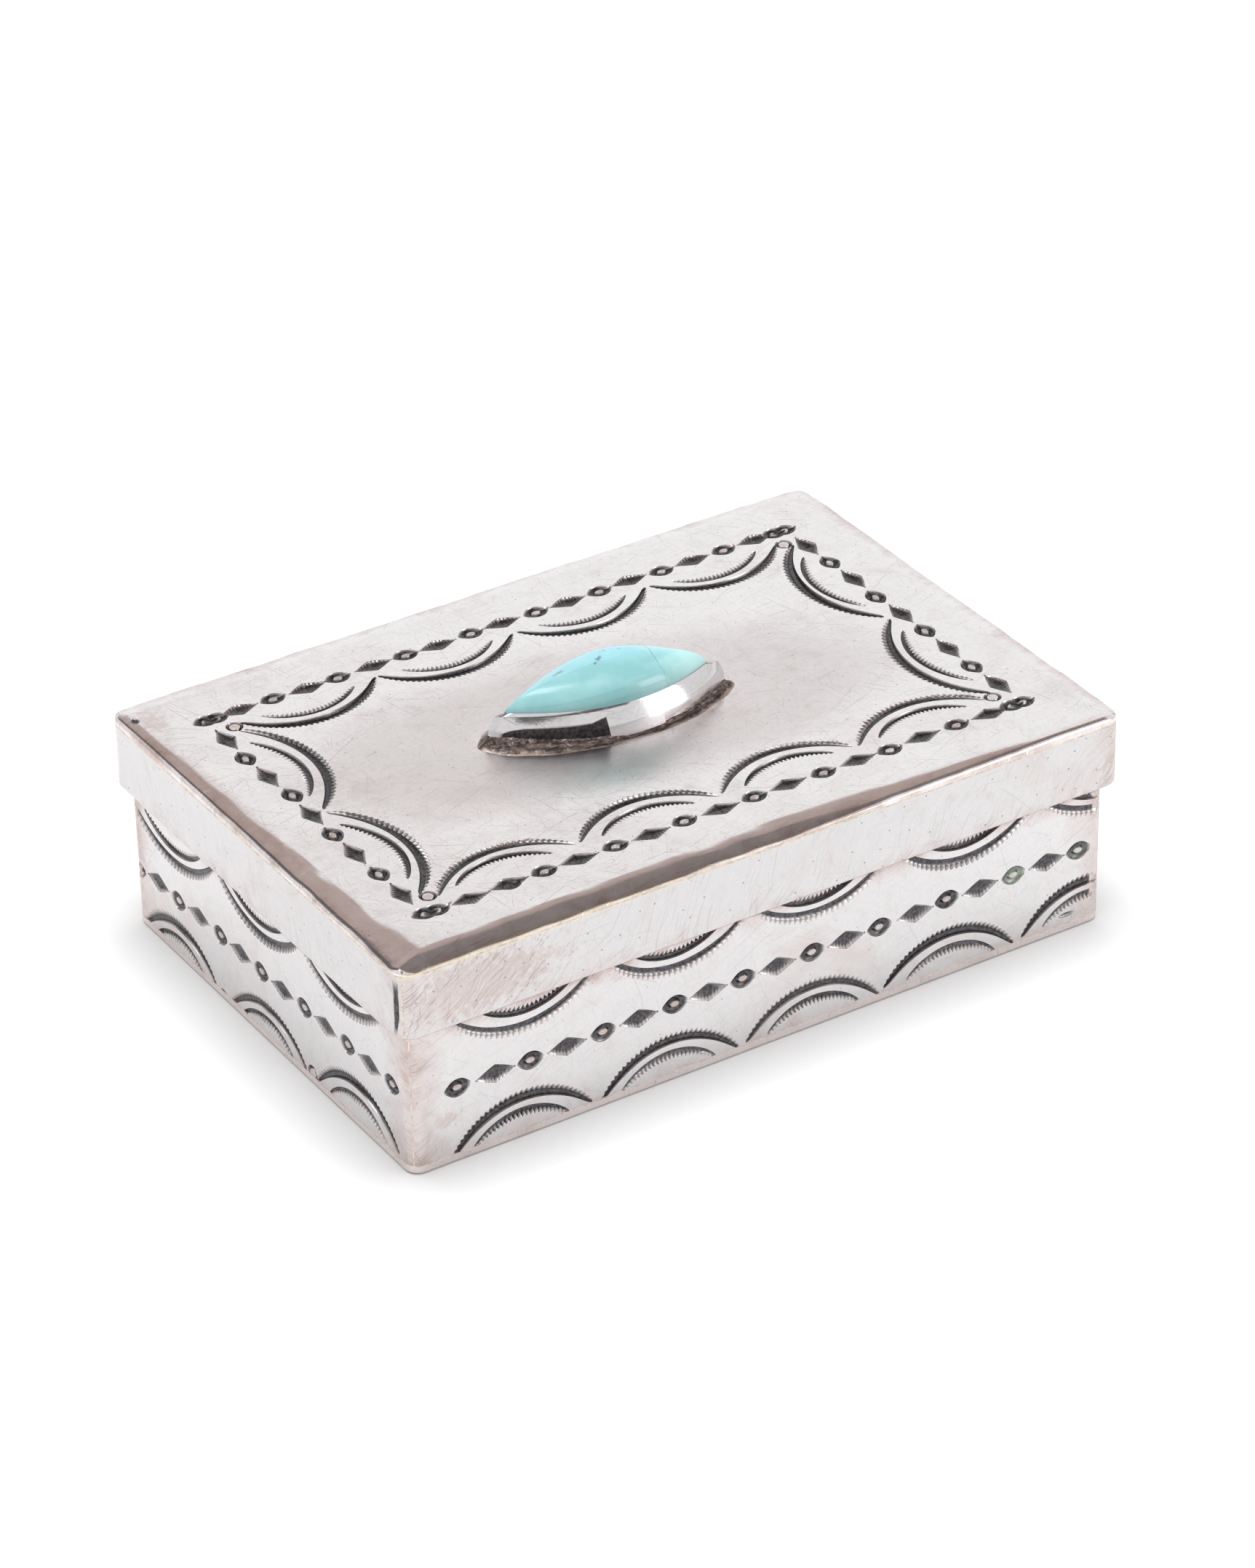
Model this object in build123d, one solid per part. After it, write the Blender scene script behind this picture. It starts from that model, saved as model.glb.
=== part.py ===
from build123d import *
import math
import os

# The box is raised from silver sheet: four stamped walls soldered round a base plate,
# and a slip-over lid made of a stamped top plate, four plain skirt strips and a set stone.
# Lengths are in millimetres. The origin is the middle of the base's underside, +Z is up,
# +X runs along the long walls and the front long wall faces -Y.

# Outside sizes of the closed box
lid_length = 95.0
lid_width = 65.0
box_height = 27.9
lid_depth = 9.2

# Sheet thicknesses and the clearance that lets the lid slip over the walls
wall_sheet = 1.0
base_sheet = 1.0
top_sheet = 1.1
skirt_sheet = 1.0
slip_gap = 0.3

# Rounded corners and filed edges
lid_corner_round = 2.2
wall_corner_round = 1.7
lid_edge_round = 0.9
base_edge_round = 0.45

# Solder: the thin seams between sheets, and the beads that fill the inside corners
seam_width = 0.16
corner_bead = 0.9
base_bead = 0.8
bead_land_share = 0.15

# Stamp marks: how deep they are struck, and the size of each punch
stamp_depth = 0.28
ring_length = 2.7
ring_breadth = 2.2
ring_dot_share = 0.4
diamond_length = 4.5
diamond_breadth = 2.3
circle_diameter = 2.2
circle_dot_share = 0.5
scallop_rise = 5.0
scallop_band = 1.35
scallop_ridge = 0.75
scallop_inner_band = 1.1
scallop_gap = 0.5
inner_band_reach_share = 0.74

# Stamp layout on the lid, measured in from the lid's outer edges
border_end_inset = 7.9
border_side_inset = 8.4
scallop_end_inset = 10.1
scallop_side_inset = 11.2
corner_ring_shift = 1.4
lid_side_ring_count = 8
lid_end_ring_count = 4
lid_side_scallop_count = 4
lid_end_scallop_count = 2

# Stamp layout on the walls, measured up from the table and in from the wall's ends
wall_row_height = 9.9
wall_scallop_clear = 3.6
wall_row_margin = 4.2
long_wall_ring_count = 10
short_wall_ring_count = 7
long_wall_scallop_count = 4
short_wall_scallop_count = 3

# The stone and its setting, a pointed oval turned a little against the lid
stone_length = 25.5
stone_width = 9.3
stone_crown = 3.5
stone_shift_x = -1.1
stone_shift_y = -0.3
stone_turn_degrees = -7.4
crown_fullness_share = 1.25
tip_growth_share = 1.25
crown_slice_count = 9
top_slice_share = 0.985
packing_height = 1.2
bezel_height = 3.95
bezel_sheet = 0.42
bezel_lean = 0.3
bezel_gap = 0.04
foot_solder_width = 1.55
foot_solder_height = 1.2
foot_solder_land = 0.12
lap_width = 0.7
lap_proud = 0.22
lap_seat_share = 0.5

# Sizes that follow from the ones above
overhang = skirt_sheet + slip_gap
wall_length = lid_length - 2 * overhang
wall_width = lid_width - 2 * overhang
inside_length = wall_length - 2 * wall_sheet
inside_width = wall_width - 2 * wall_sheet
wall_top = box_height - top_sheet
wall_foot = base_sheet + seam_width
skirt_foot = box_height - lid_depth
skirt_top = wall_top - seam_width
skirt_inside_length = lid_length - 2 * skirt_sheet
skirt_inside_width = lid_width - 2 * skirt_sheet


def arc_rise(chord, rise, x):
    """Height over its chord, at x from the middle, of an arc of this chord and rise."""
    radius = ((chord / 2) ** 2 + rise ** 2) / (2 * rise)
    return math.sqrt(radius ** 2 - x ** 2) - (radius - rise)


def two_arcs(chord, seat, upper, lower):
    """A crescent between two arcs that share their ends, which lie at height seat."""
    left = (-chord / 2, seat)
    right = (chord / 2, seat)
    top_arc = ThreePointArc(left, (0, upper), right)
    low_arc = ThreePointArc(right, (0, lower), left)
    return make_face([top_arc, low_arc])


def scallop_mark(chord):
    """One scallop: an outer band, a ridge left standing, and a shorter inner band."""
    outer = two_arcs(chord, 0, scallop_rise, scallop_rise - scallop_band)
    ridge_rise = scallop_rise - scallop_band - scallop_ridge
    reach = chord * inner_band_reach_share
    seat = arc_rise(chord, ridge_rise, reach / 2)
    inner = two_arcs(reach, seat, ridge_rise, ridge_rise - scallop_inner_band)
    return outer + inner


def ring_mark():
    """An oval ring round a standing dot."""
    hole = Ellipse(ring_length / 2, ring_breadth / 2)
    dot = Ellipse(ring_length / 2 * ring_dot_share, ring_breadth / 2 * ring_dot_share)
    return hole - dot


def diamond_mark():
    """A lozenge with its long diagonal along the row."""
    half_long = diamond_length / 2
    half_wide = diamond_breadth / 2
    corners = [(half_long, 0), (0, half_wide), (-half_long, 0), (0, -half_wide)]
    return Polygon(*corners, align=None)


def circle_mark():
    """A plain circle round a standing centre."""
    return Circle(circle_diameter / 2) - Circle(circle_diameter / 2 * circle_dot_share)


def border_row(span, rings):
    """Diamonds with rings between them, evenly along a span that runs from ring to ring."""
    step = span / (2 * (rings + 1))
    marks = []
    for place in range(1, 2 * (rings + 1)):
        mark = diamond_mark() if place % 2 else ring_mark()
        marks.append(Pos(place * step - span / 2, 0) * mark)
    return marks


def scallop_row(span, count):
    """Scallops almost end to end along a span, bulging towards +Y."""
    step = (span + scallop_gap) / count
    mark = scallop_mark(step - scallop_gap)
    return [Pos((place - (count - 1) / 2) * step, 0) * mark for place in range(count)]


def lid_pattern():
    """All the marks on the lid, drawn round its middle."""
    border_x = lid_length / 2 - border_end_inset
    border_y = lid_width / 2 - border_side_inset
    scallop_x = lid_length / 2 - scallop_end_inset
    scallop_y = lid_width / 2 - scallop_side_inset
    marks = []
    for turn in (0, 180):
        side = Rot(0, 0, turn) * Pos(0, -border_y)
        end = Rot(0, 0, turn + 90) * Pos(0, -border_x)
        marks += [side * mark for mark in border_row(2 * border_x, lid_side_ring_count)]
        marks += [end * mark for mark in border_row(2 * border_y, lid_end_ring_count)]
        inner_side = Rot(0, 0, turn) * Pos(0, -scallop_y)
        inner_end = Rot(0, 0, turn + 90) * Pos(0, -scallop_x)
        side_span = 2 * scallop_x - circle_diameter - 2 * scallop_gap
        end_span = 2 * scallop_y - circle_diameter - 2 * scallop_gap
        marks += [inner_side * mark for mark in scallop_row(side_span, lid_side_scallop_count)]
        marks += [inner_end * mark for mark in scallop_row(end_span, lid_end_scallop_count)]
    for sign_x in (-1, 1):
        for sign_y in (-1, 1):
            marks.append(Pos(sign_x * scallop_x, sign_y * scallop_y) * circle_mark())
            marks.append(Pos(sign_x * border_x, sign_y * border_y) * ring_mark())
            marks.append(Pos(sign_x * (border_x - corner_ring_shift), sign_y * border_y) * ring_mark())
    return Sketch() + marks


def wall_pattern(length, rings, scallops):
    """The marks of one wall: a row of rings and diamonds between two rows of scallops."""
    span = length - 2 * wall_row_margin
    marks = [Pos(0, wall_row_height) * mark for mark in border_row(span, rings - 2)]
    for end in (-1, 1):
        marks.append(Pos(end * span / 2, wall_row_height) * ring_mark())
    lower_seat = wall_row_height - wall_scallop_clear - scallop_rise
    upper_seat = wall_row_height + wall_scallop_clear + scallop_rise
    for mark in scallop_row(span, scallops):
        marks.append(Pos(0, lower_seat) * mark)
        marks.append(Pos(0, upper_seat) * Rot(0, 0, 180) * mark)
    return Sketch() + marks


def frame_corners(length, width):
    """The four corners of a rectangle, each with the signs of its x and y."""
    return [(sx, sy, sx * length / 2, sy * width / 2) for sx in (-1, 1) for sy in (-1, 1)]


def strip_plan(length, width, corner_round, sheet, inner_bead):
    """The plan of four strips mitred at the corners, and of the solder in those corners."""
    ring = RectangleRounded(length, width, corner_round)
    ring -= Rectangle(length - 2 * sheet, width - 2 * sheet)
    seam_length = 4 * (sheet + corner_round)
    cuts = Sketch()
    beads = Sketch()
    for sx, sy, x, y in frame_corners(length, width):
        cuts += Pos(x, y) * Rot(0, 0, 45 * sx * sy) * Rectangle(seam_length, seam_width)
    for sx, sy, x, y in frame_corners(length - 2 * sheet, width - 2 * sheet):
        square = Pos(x - sx * inner_bead / 2, y - sy * inner_bead / 2) * Rectangle(inner_bead, inner_bead)
        beads += square - Pos(x - sx * inner_bead, y - sy * inner_bead) * Circle(inner_bead)
    return ring - cuts, (ring & cuts) + beads


def four_strips(plan, foot, top):
    """The front, back, left and right strips, standing between two heights."""
    faces = plan.faces()
    along_y = faces.sort_by(Axis.Y)
    along_x = faces.sort_by(Axis.X)
    chosen = [along_y[0], along_y[-1], along_x[0], along_x[-1]]
    return [Pos(0, 0, foot) * extrude(face, top - foot, dir=(0, 0, 1)) for face in chosen]


def face_plane(side, length, width):
    """The outer face of one side, with its own x to the right as seen from outside."""
    normals = {"front": (0, -1, 0), "back": (0, 1, 0), "left": (-1, 0, 0), "right": (1, 0, 0)}
    rights = {"front": (1, 0, 0), "back": (-1, 0, 0), "left": (0, -1, 0), "right": (0, 1, 0)}
    normal = normals[side]
    origin = (normal[0] * length / 2, normal[1] * width / 2, 0)
    return Plane(origin=origin, x_dir=rights[side], z_dir=normal)


def stamped(solid, plane, pattern):
    """A sheet with a pattern of marks sunk into its face on this plane."""
    return solid - extrude(plane * pattern, -stamp_depth)


def make_walls():
    """The four stamped walls and the solder in their corners."""
    plan, corner_plan = strip_plan(wall_length, wall_width, wall_corner_round, wall_sheet, corner_bead)
    front, back, left, right = four_strips(plan, wall_foot, wall_top)
    long_marks = wall_pattern(wall_length, long_wall_ring_count, long_wall_scallop_count)
    short_marks = wall_pattern(wall_width, short_wall_ring_count, short_wall_scallop_count)
    solder = Pos(0, 0, wall_foot) * extrude(corner_plan, wall_top - wall_foot, dir=(0, 0, 1))
    solder -= base_bead_ring()
    return {
        "front_wall": stamped(front, face_plane("front", wall_length, wall_width), long_marks),
        "back_wall": stamped(back, face_plane("back", wall_length, wall_width), long_marks),
        "left_wall": stamped(left, face_plane("left", wall_length, wall_width), short_marks),
        "right_wall": stamped(right, face_plane("right", wall_length, wall_width), short_marks),
        "wall_corner_solder": solder,
    }


def base_bead_ring():
    """The bead of solder inside, where the walls meet the base."""
    inside = Rectangle(inside_length, inside_width)
    land = base_bead * bead_land_share
    low = Rectangle(inside_length - 2 * base_bead, inside_width - 2 * base_bead)
    high = Rectangle(inside_length - 2 * land, inside_width - 2 * land)
    block = extrude(inside, base_bead, dir=(0, 0, 1))
    hollow = loft([low, Pos(0, 0, base_bead) * high], ruled=True)
    return Pos(0, 0, base_sheet) * (block - hollow)


def make_base():
    """The base plate, and the solder between it and the walls."""
    outline = RectangleRounded(wall_length, wall_width, wall_corner_round)
    plate = extrude(outline, base_sheet, dir=(0, 0, 1))
    plate = fillet(plate.edges().group_by(Axis.Z)[0], base_edge_round)
    seam = extrude(outline - Rectangle(inside_length, inside_width), seam_width, dir=(0, 0, 1))
    return {
        "base_plate": plate,
        "base_solder": Pos(0, 0, base_sheet) * seam + base_bead_ring(),
    }


def make_lid_top():
    """The stamped top plate with its filed outer edge."""
    outline = RectangleRounded(lid_length, lid_width, lid_corner_round)
    plate = Pos(0, 0, wall_top) * extrude(outline, top_sheet, dir=(0, 0, 1))
    plate = fillet(plate.edges().group_by(Axis.Z)[-1], lid_edge_round)
    return {"lid_top": stamped(plate, Plane((0, 0, box_height)), lid_pattern())}


def make_skirt():
    """The four plain skirt strips, with the solder in their corners and under the top plate."""
    bead = slip_gap / 2
    plan, corner_plan = strip_plan(lid_length, lid_width, lid_corner_round, skirt_sheet, bead)
    front, back, left, right = four_strips(plan, skirt_foot, skirt_top)
    solder = Pos(0, 0, skirt_foot) * extrude(corner_plan, skirt_top - skirt_foot, dir=(0, 0, 1))
    outline = RectangleRounded(lid_length, lid_width, lid_corner_round)
    seam = extrude(outline - Rectangle(skirt_inside_length, skirt_inside_width), seam_width, dir=(0, 0, 1))
    return {
        "skirt_front": front,
        "skirt_back": back,
        "skirt_left": left,
        "skirt_right": right,
        "skirt_corner_solder": solder,
        "lid_solder": Pos(0, 0, skirt_top) * seam,
    }


def pointed_oval(length, width, grow=0):
    """A pointed oval of two arcs, grown by one amount at its sides and a little more at its tips."""
    tip = (length / 2) + grow * tip_growth_share
    side = (width / 2) + grow
    upper = ThreePointArc((-tip, 0), (0, side), (tip, 0))
    lower = ThreePointArc((tip, 0), (0, -side), (-tip, 0))
    return make_face([upper, lower])


def leaning_block(grow):
    """A block of the setting's plan that leans in towards the stone as it rises."""
    foot = pointed_oval(stone_length, stone_width, grow + bezel_lean)
    rim = pointed_oval(stone_length, stone_width, grow)
    return loft([foot, Pos(0, 0, bezel_height) * rim], ruled=True)


def stone_body():
    """The stone: a leaning girdle inside the bezel, under a high crown cut in slices."""
    below = pointed_oval(stone_length, stone_width, stone_lean_at(packing_height))
    rim = pointed_oval(stone_length, stone_width)
    girdle = loft([Pos(0, 0, packing_height) * below, Pos(0, 0, bezel_height) * rim], ruled=True)
    slices = []
    for place in range(crown_slice_count + 1):
        level = top_slice_share * math.sin(math.pi / 2 * place / crown_slice_count)
        long_share = math.sqrt(1 - level ** crown_fullness_share)
        wide_share = math.sqrt(1 - level ** 2)
        outline = pointed_oval(stone_length * long_share, stone_width * wide_share)
        slices.append(Pos(0, 0, bezel_height + level * stone_crown) * outline)
    return girdle + loft(slices)


def stone_lean_at(height):
    """How far the girdle stands out, at this height over the lid, past its size at the rim."""
    return bezel_lean * (1 - height / bezel_height)


def lap_block(width, inner_grow, outer_grow):
    """An upright block across the front of the bezel, from one offset of its rim to another."""
    depth = outer_grow - inner_grow
    middle = -(stone_width / 2 + bezel_lean * lap_seat_share + (inner_grow + outer_grow) / 2)
    return Pos(0, middle, bezel_height / 2) * Box(width, depth, bezel_height)


def make_setting():
    """The stone with its packing, the bezel strip round it, and the strip's two solder joints."""
    seat = Pos(stone_shift_x, stone_shift_y, box_height) * Rot(0, 0, stone_turn_degrees)
    strip_grow = bezel_gap + bezel_sheet
    outer = leaning_block(strip_grow)
    strip = outer - leaning_block(bezel_gap)
    lap_cut = lap_block(seam_width, -bezel_lean, bezel_sheet + 2 * bezel_lean)
    lap_ridge = lap_block(lap_width, bezel_gap, strip_grow + lap_proud)
    lap = (lap_ridge - outer) + (strip & lap_cut)
    foot_low = pointed_oval(stone_length, stone_width, strip_grow + bezel_lean + foot_solder_width)
    high_grow = strip_grow + stone_lean_at(foot_solder_height) + foot_solder_land
    foot_high = pointed_oval(stone_length, stone_width, high_grow)
    foot = loft([foot_low, Pos(0, 0, foot_solder_height) * foot_high], ruled=True)
    packing_plan = pointed_oval(stone_length, stone_width)
    pieces = {
        "bezel_strip": strip - lap_cut,
        "bezel_lap_solder": lap,
        "bezel_foot_solder": foot - outer - lap,
        "turquoise_stone": stone_body(),
        "stone_packing": extrude(packing_plan, packing_height, dir=(0, 0, 1)),
    }
    return {name: seat * piece for name, piece in pieces.items()}


def main():
    """Make every piece and write each one to its own file."""
    os.makedirs("parts", exist_ok=True)
    nodes = {}
    for group in (make_walls(), make_base(), make_lid_top(), make_skirt(), make_setting()):
        nodes.update(group)
    for name, shape in nodes.items():
        export_step(shape, f"parts/{name}.step")


main()
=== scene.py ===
"""A stamped silver box with a slip-over lid and one set turquoise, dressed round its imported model."""
import logging
import math
import random
from dataclasses import dataclass, field
from enum import Enum
from typing import Callable

import bmesh
import bpy
from mathutils import Matrix, Vector, noise


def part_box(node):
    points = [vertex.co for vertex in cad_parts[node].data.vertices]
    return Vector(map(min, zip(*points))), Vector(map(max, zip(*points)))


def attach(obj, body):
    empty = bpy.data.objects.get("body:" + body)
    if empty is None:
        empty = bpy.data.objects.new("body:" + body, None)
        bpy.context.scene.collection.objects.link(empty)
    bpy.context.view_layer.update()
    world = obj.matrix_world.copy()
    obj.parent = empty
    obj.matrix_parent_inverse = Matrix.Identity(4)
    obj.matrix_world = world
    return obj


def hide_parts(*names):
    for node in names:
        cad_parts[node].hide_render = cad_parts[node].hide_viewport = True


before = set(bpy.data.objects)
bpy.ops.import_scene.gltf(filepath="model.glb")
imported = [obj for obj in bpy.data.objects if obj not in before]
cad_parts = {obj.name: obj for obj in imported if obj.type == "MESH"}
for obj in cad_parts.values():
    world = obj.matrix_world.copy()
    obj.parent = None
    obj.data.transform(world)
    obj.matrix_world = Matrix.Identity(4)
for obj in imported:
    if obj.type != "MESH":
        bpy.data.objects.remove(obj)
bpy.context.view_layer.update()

MM = 0.001
HAIR = 0.0005 * MM
MERGE_GAP = 0.002 * MM
SWEEP_MERGE_GAP = 0.004 * MM
CREASE_DEGREES = 32.0
LOG = logging.getLogger("stamp_box")

Piece = bpy.types.Object
Material = bpy.types.Material
Socket = bpy.types.NodeSocket
Value = float | tuple | Vector | Socket
Rule = Callable[[Vector], float]
Profile = Callable[[float], list[tuple[float, float]]]


class Lay(Enum):
    """The two axes of the object that a surface pattern lies on."""

    FLAT = ("X", "Y")
    LONG = ("X", "Z")
    SHORT = ("Y", "Z")


class Side(Enum):
    """One side of the box, with its outward normal and the way to its right from outside."""

    FRONT = ((0, -1, 0), (1, 0, 0))
    BACK = ((0, 1, 0), (-1, 0, 0))
    LEFT = ((-1, 0, 0), (0, -1, 0))
    RIGHT = ((1, 0, 0), (0, 1, 0))

    @property
    def label(self) -> str:
        """The side's plain name."""
        return self.name.lower()

    @property
    def normal(self) -> Vector:
        """The outward normal."""
        return Vector(self.value[0])

    @property
    def along(self) -> Vector:
        """The way to the right, as seen from outside."""
        return Vector(self.value[1])

    @property
    def lay(self) -> Lay:
        """The axes of the side's face."""
        return Lay.LONG if self.along.x else Lay.SHORT


class Element(Enum):
    """What is chosen in edit mode: the mesh's list of it, and the name of its mode."""

    EDGES = ("edges", "EDGE")
    FACES = ("faces", "FACE")


# Helpers for the bench: selecting in code and shaping in edit mode


def clamp(value: float) -> float:
    """A number held between 0 and 1."""
    return max(0.0, min(1.0, value))


def axis_vector(index: int) -> Vector:
    """The unit vector along one of the three axes."""
    return Vector([float(index == k) for k in range(3)])


def column_matrix(columns: tuple[Vector, Vector, Vector]) -> Matrix:
    """The turn that takes the three axes to three given directions."""
    return Matrix([[column[row] for column in columns] for row in range(3)]).to_4x4()


def deselect_all() -> None:
    """Leave nothing selected, in object mode."""
    if bpy.context.object and bpy.context.object.mode != "OBJECT":
        bpy.ops.object.mode_set(mode="OBJECT")
    bpy.ops.object.select_all(action="DESELECT")


def take(piece: Piece) -> None:
    """Make one piece the only selected and active one.

    Args:
        piece: The piece to work on.
    """
    deselect_all()
    piece.select_set(True)
    bpy.context.view_layer.objects.active = piece


def settle(piece: Piece) -> None:
    """Move a piece's placing into its mesh, so that its object sits at the origin."""
    take(piece)
    bpy.ops.object.transform_apply(location=True, rotation=True, scale=True)


def edit(piece: Piece) -> None:
    """Open one piece in edit mode."""
    take(piece)
    bpy.ops.object.mode_set(mode="EDIT")


def close_edit() -> None:
    """Go back to object mode."""
    bpy.ops.object.mode_set(mode="OBJECT")


def choose(piece: Piece, kind: Element, test: Callable[..., bool]) -> None:
    """Select the edges or faces of a piece that pass a test, and nothing else.

    Args:
        piece: The active piece, in edit mode.
        kind: Whether edges or faces are chosen.
        test: Says for one element whether it is chosen.
    """
    listed, mode = kind.value
    bpy.ops.mesh.select_mode(type=mode)
    bpy.ops.mesh.select_all(action="DESELECT")
    mesh = bmesh.from_edit_mesh(piece.data)
    for element in getattr(mesh, listed):
        element.select_set(bool(test(element)))
    mesh.select_flush_mode()
    bmesh.update_edit_mesh(piece.data)


def slice_at(point: Vector, normal: Vector, keep_inner: bool = False) -> None:
    """Cut the piece that is open in edit mode along a plane.

    Args:
        point: A point of the plane.
        normal: The plane's normal.
        keep_inner: Whether what lies past the plane is cut off, and the cut closed.
    """
    bpy.ops.mesh.select_all(action="SELECT")
    bpy.ops.mesh.bisect(
        plane_co=point, plane_no=normal, use_fill=keep_inner, clear_outer=keep_inner, threshold=HAIR
    )


def reshape(piece: Piece, place: Callable[[Vector], Vector]) -> None:
    """Move every vertex of a piece to where a rule puts it.

    Args:
        piece: The piece to reshape.
        place: Gives the new place for an old one.
    """
    for vertex in piece.data.vertices:
        vertex.co = place(vertex.co.copy())
    piece.data.update()


def tidy_mesh(piece: Piece) -> None:
    """Merge doubled vertices and turn every face outwards.

    Args:
        piece: The piece to tidy.
    """
    edit(piece)
    bpy.ops.mesh.select_all(action="SELECT")
    bpy.ops.mesh.remove_doubles(threshold=MERGE_GAP)
    bpy.ops.mesh.normals_make_consistent(inside=False)
    close_edit()


def finish_modifier(piece: Piece, modifier: bpy.types.Modifier) -> None:
    """Apply a piece's modifier for good."""
    take(piece)
    bpy.ops.object.modifier_apply(modifier=modifier.name)


def smooth(piece: Piece, degrees: float = CREASE_DEGREES) -> None:
    """Shade a piece smooth, with creases where faces turn by more than an angle.

    Args:
        piece: The piece to shade.
        degrees: The angle of the creases.
    """
    take(piece)
    bpy.ops.object.shade_smooth_by_angle(angle=math.radians(degrees))
    weighted = piece.modifiers.new("even shading", "WEIGHTED_NORMAL")
    weighted.keep_sharp = True
    finish_modifier(piece, weighted)


def block(name: str, low: Vector, high: Vector) -> Piece:
    """A plain block between two corners, the start of a sheet.

    Args:
        name: The piece's name.
        low: Its lowest corner.
        high: Its highest corner.

    Returns:
        The block, at the origin with its place in its mesh.
    """
    deselect_all()
    bpy.ops.mesh.primitive_cube_add(size=1, location=(low + high) / 2, scale=high - low)
    piece = bpy.context.active_object
    piece.name = name
    settle(piece)
    return piece


def grid(name: str, stations: int, rows: int) -> Piece:
    """A flat unit grid round the origin, which a rule of place then turns into a piece.

    Args:
        name: The piece's name.
        stations: How many cells it has along X.
        rows: How many cells it has along Y.

    Returns:
        The grid.
    """
    deselect_all()
    bpy.ops.mesh.primitive_grid_add(x_subdivisions=stations, y_subdivisions=rows, size=1)
    piece = bpy.context.active_object
    piece.name = name
    return piece


def corners(piece: Piece) -> tuple[Vector, Vector]:
    """Lowest and highest corner of a piece's mesh.

    Args:
        piece: The piece to measure.

    Returns:
        The two corners.
    """
    places = [vertex.co for vertex in piece.data.vertices]
    low = Vector([min(place[k] for place in places) for k in range(3)])
    high = Vector([max(place[k] for place in places) for k in range(3)])
    return low, high


def lattice_cuts(piece: Piece, pitch: float, axes: tuple[str, ...]) -> None:
    """Cut a piece across its axes at an even pitch, so that it can be bent softly.

    Args:
        piece: The piece to cut.
        pitch: The distance between cuts.
        axes: The axes to cut across.
    """
    low, high = corners(piece)
    edit(piece)
    for axis in axes:
        index = "XYZ".index(axis)
        count = max(1, round((high[index] - low[index]) / pitch))
        normal = axis_vector(index)
        for step in range(1, count):
            slice_at(low + normal * (high[index] - low[index]) * step / count, normal)
    close_edit()


def join(pieces: list[Piece], name: str) -> Piece:
    """Join several pieces into one mesh.

    Args:
        pieces: The pieces to join.
        name: The name of the whole.

    Returns:
        The joined piece.
    """
    deselect_all()
    for piece in pieces:
        piece.select_set(True)
    bpy.context.view_layer.objects.active = pieces[0]
    if len(pieces) > 1:
        bpy.ops.object.join()
    pieces[0].name = name
    return pieces[0]


def copy_of(piece: Piece, name: str) -> Piece:
    """A copy of a piece with its own mesh.

    Args:
        piece: The piece to copy.
        name: The copy's name.

    Returns:
        The copy.
    """
    twin = piece.copy()
    twin.data = piece.data.copy()
    twin.name = name
    bpy.context.scene.collection.objects.link(twin)
    return twin


def put_away(piece: Piece) -> None:
    """Remove a piece that was only a tool."""
    bpy.data.objects.remove(piece, do_unlink=True)


def cut_out(sheet: Piece, tool: Piece) -> None:
    """Cut one solid out of a sheet for good, and put that solid away.

    Args:
        sheet: The sheet, a closed solid.
        tool: The solid to cut out.
    """
    modifier = sheet.modifiers.new("cut", "BOOLEAN")
    modifier.operation = "DIFFERENCE"
    modifier.solver = "MANIFOLD"
    modifier.object = tool
    finish_modifier(sheet, modifier)
    put_away(tool)


def dent(sheet: Piece, middle: Vector, size: Vector) -> None:
    """Gouge one smooth hollow out of a sheet.

    Args:
        sheet: The sheet, a closed solid.
        middle: The middle of the hollow.
        size: Half its size along each axis.
    """
    deselect_all()
    bpy.ops.mesh.primitive_uv_sphere_add(segments=20, ring_count=14, radius=1, location=middle, scale=size)
    ball = bpy.context.active_object
    settle(ball)
    cut_out(sheet, ball)


def push(piece: Piece, direction: str, amount: float, weight: Rule, cloud_size: float | None = None) -> None:
    """Push a piece's surface one way along an axis, all over or in soft clouds, and apply it.

    Args:
        piece: The piece to push.
        direction: X, Y, Z or NORMAL.
        amount: The full push, in metres.
        weight: The share of the push, 0 to 1, at a place.
        cloud_size: The size of the clouds, or None for an even push.
    """
    group = piece.vertex_groups.new(name="push")
    for vertex in piece.data.vertices:
        share = clamp(weight(vertex.co))
        if share > 0:
            group.add([vertex.index], share, "REPLACE")
    modifier = piece.modifiers.new("push", "DISPLACE")
    modifier.direction = direction
    modifier.strength = amount
    modifier.vertex_group = group.name
    modifier.mid_level = 0.0
    if cloud_size:
        clouds = bpy.data.textures.new("hand work", "CLOUDS")
        clouds.noise_scale = cloud_size
        modifier.texture = clouds
        modifier.texture_coords = "LOCAL"
    finish_modifier(piece, modifier)
    piece.vertex_groups.remove(piece.vertex_groups["push"])


def paint(piece: Piece, name: str, value: Rule) -> None:
    """Keep a number from 0 to 1 on each vertex of a piece, for its finish to read.

    Args:
        piece: The piece.
        name: The number's name.
        value: The number at a place.
    """
    layer = piece.data.attributes.new(name, "FLOAT", "POINT")
    for vertex in piece.data.vertices:
        layer.data[vertex.index].value = clamp(value(vertex.co))


def note_sunk(sheet: Piece, depth: Rule) -> None:
    """Keep, on each vertex, how deep it lies under the sheet's unstruck face, in millimetres.

    Args:
        sheet: The struck sheet, before it is bent.
        depth: Depth under the face at a place, in metres.
    """
    layer = sheet.data.attributes.new("sunk", "FLOAT", "POINT")
    for vertex in sheet.data.vertices:
        layer.data[vertex.index].value = max(0.0, depth(vertex.co) / MM)


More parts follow.
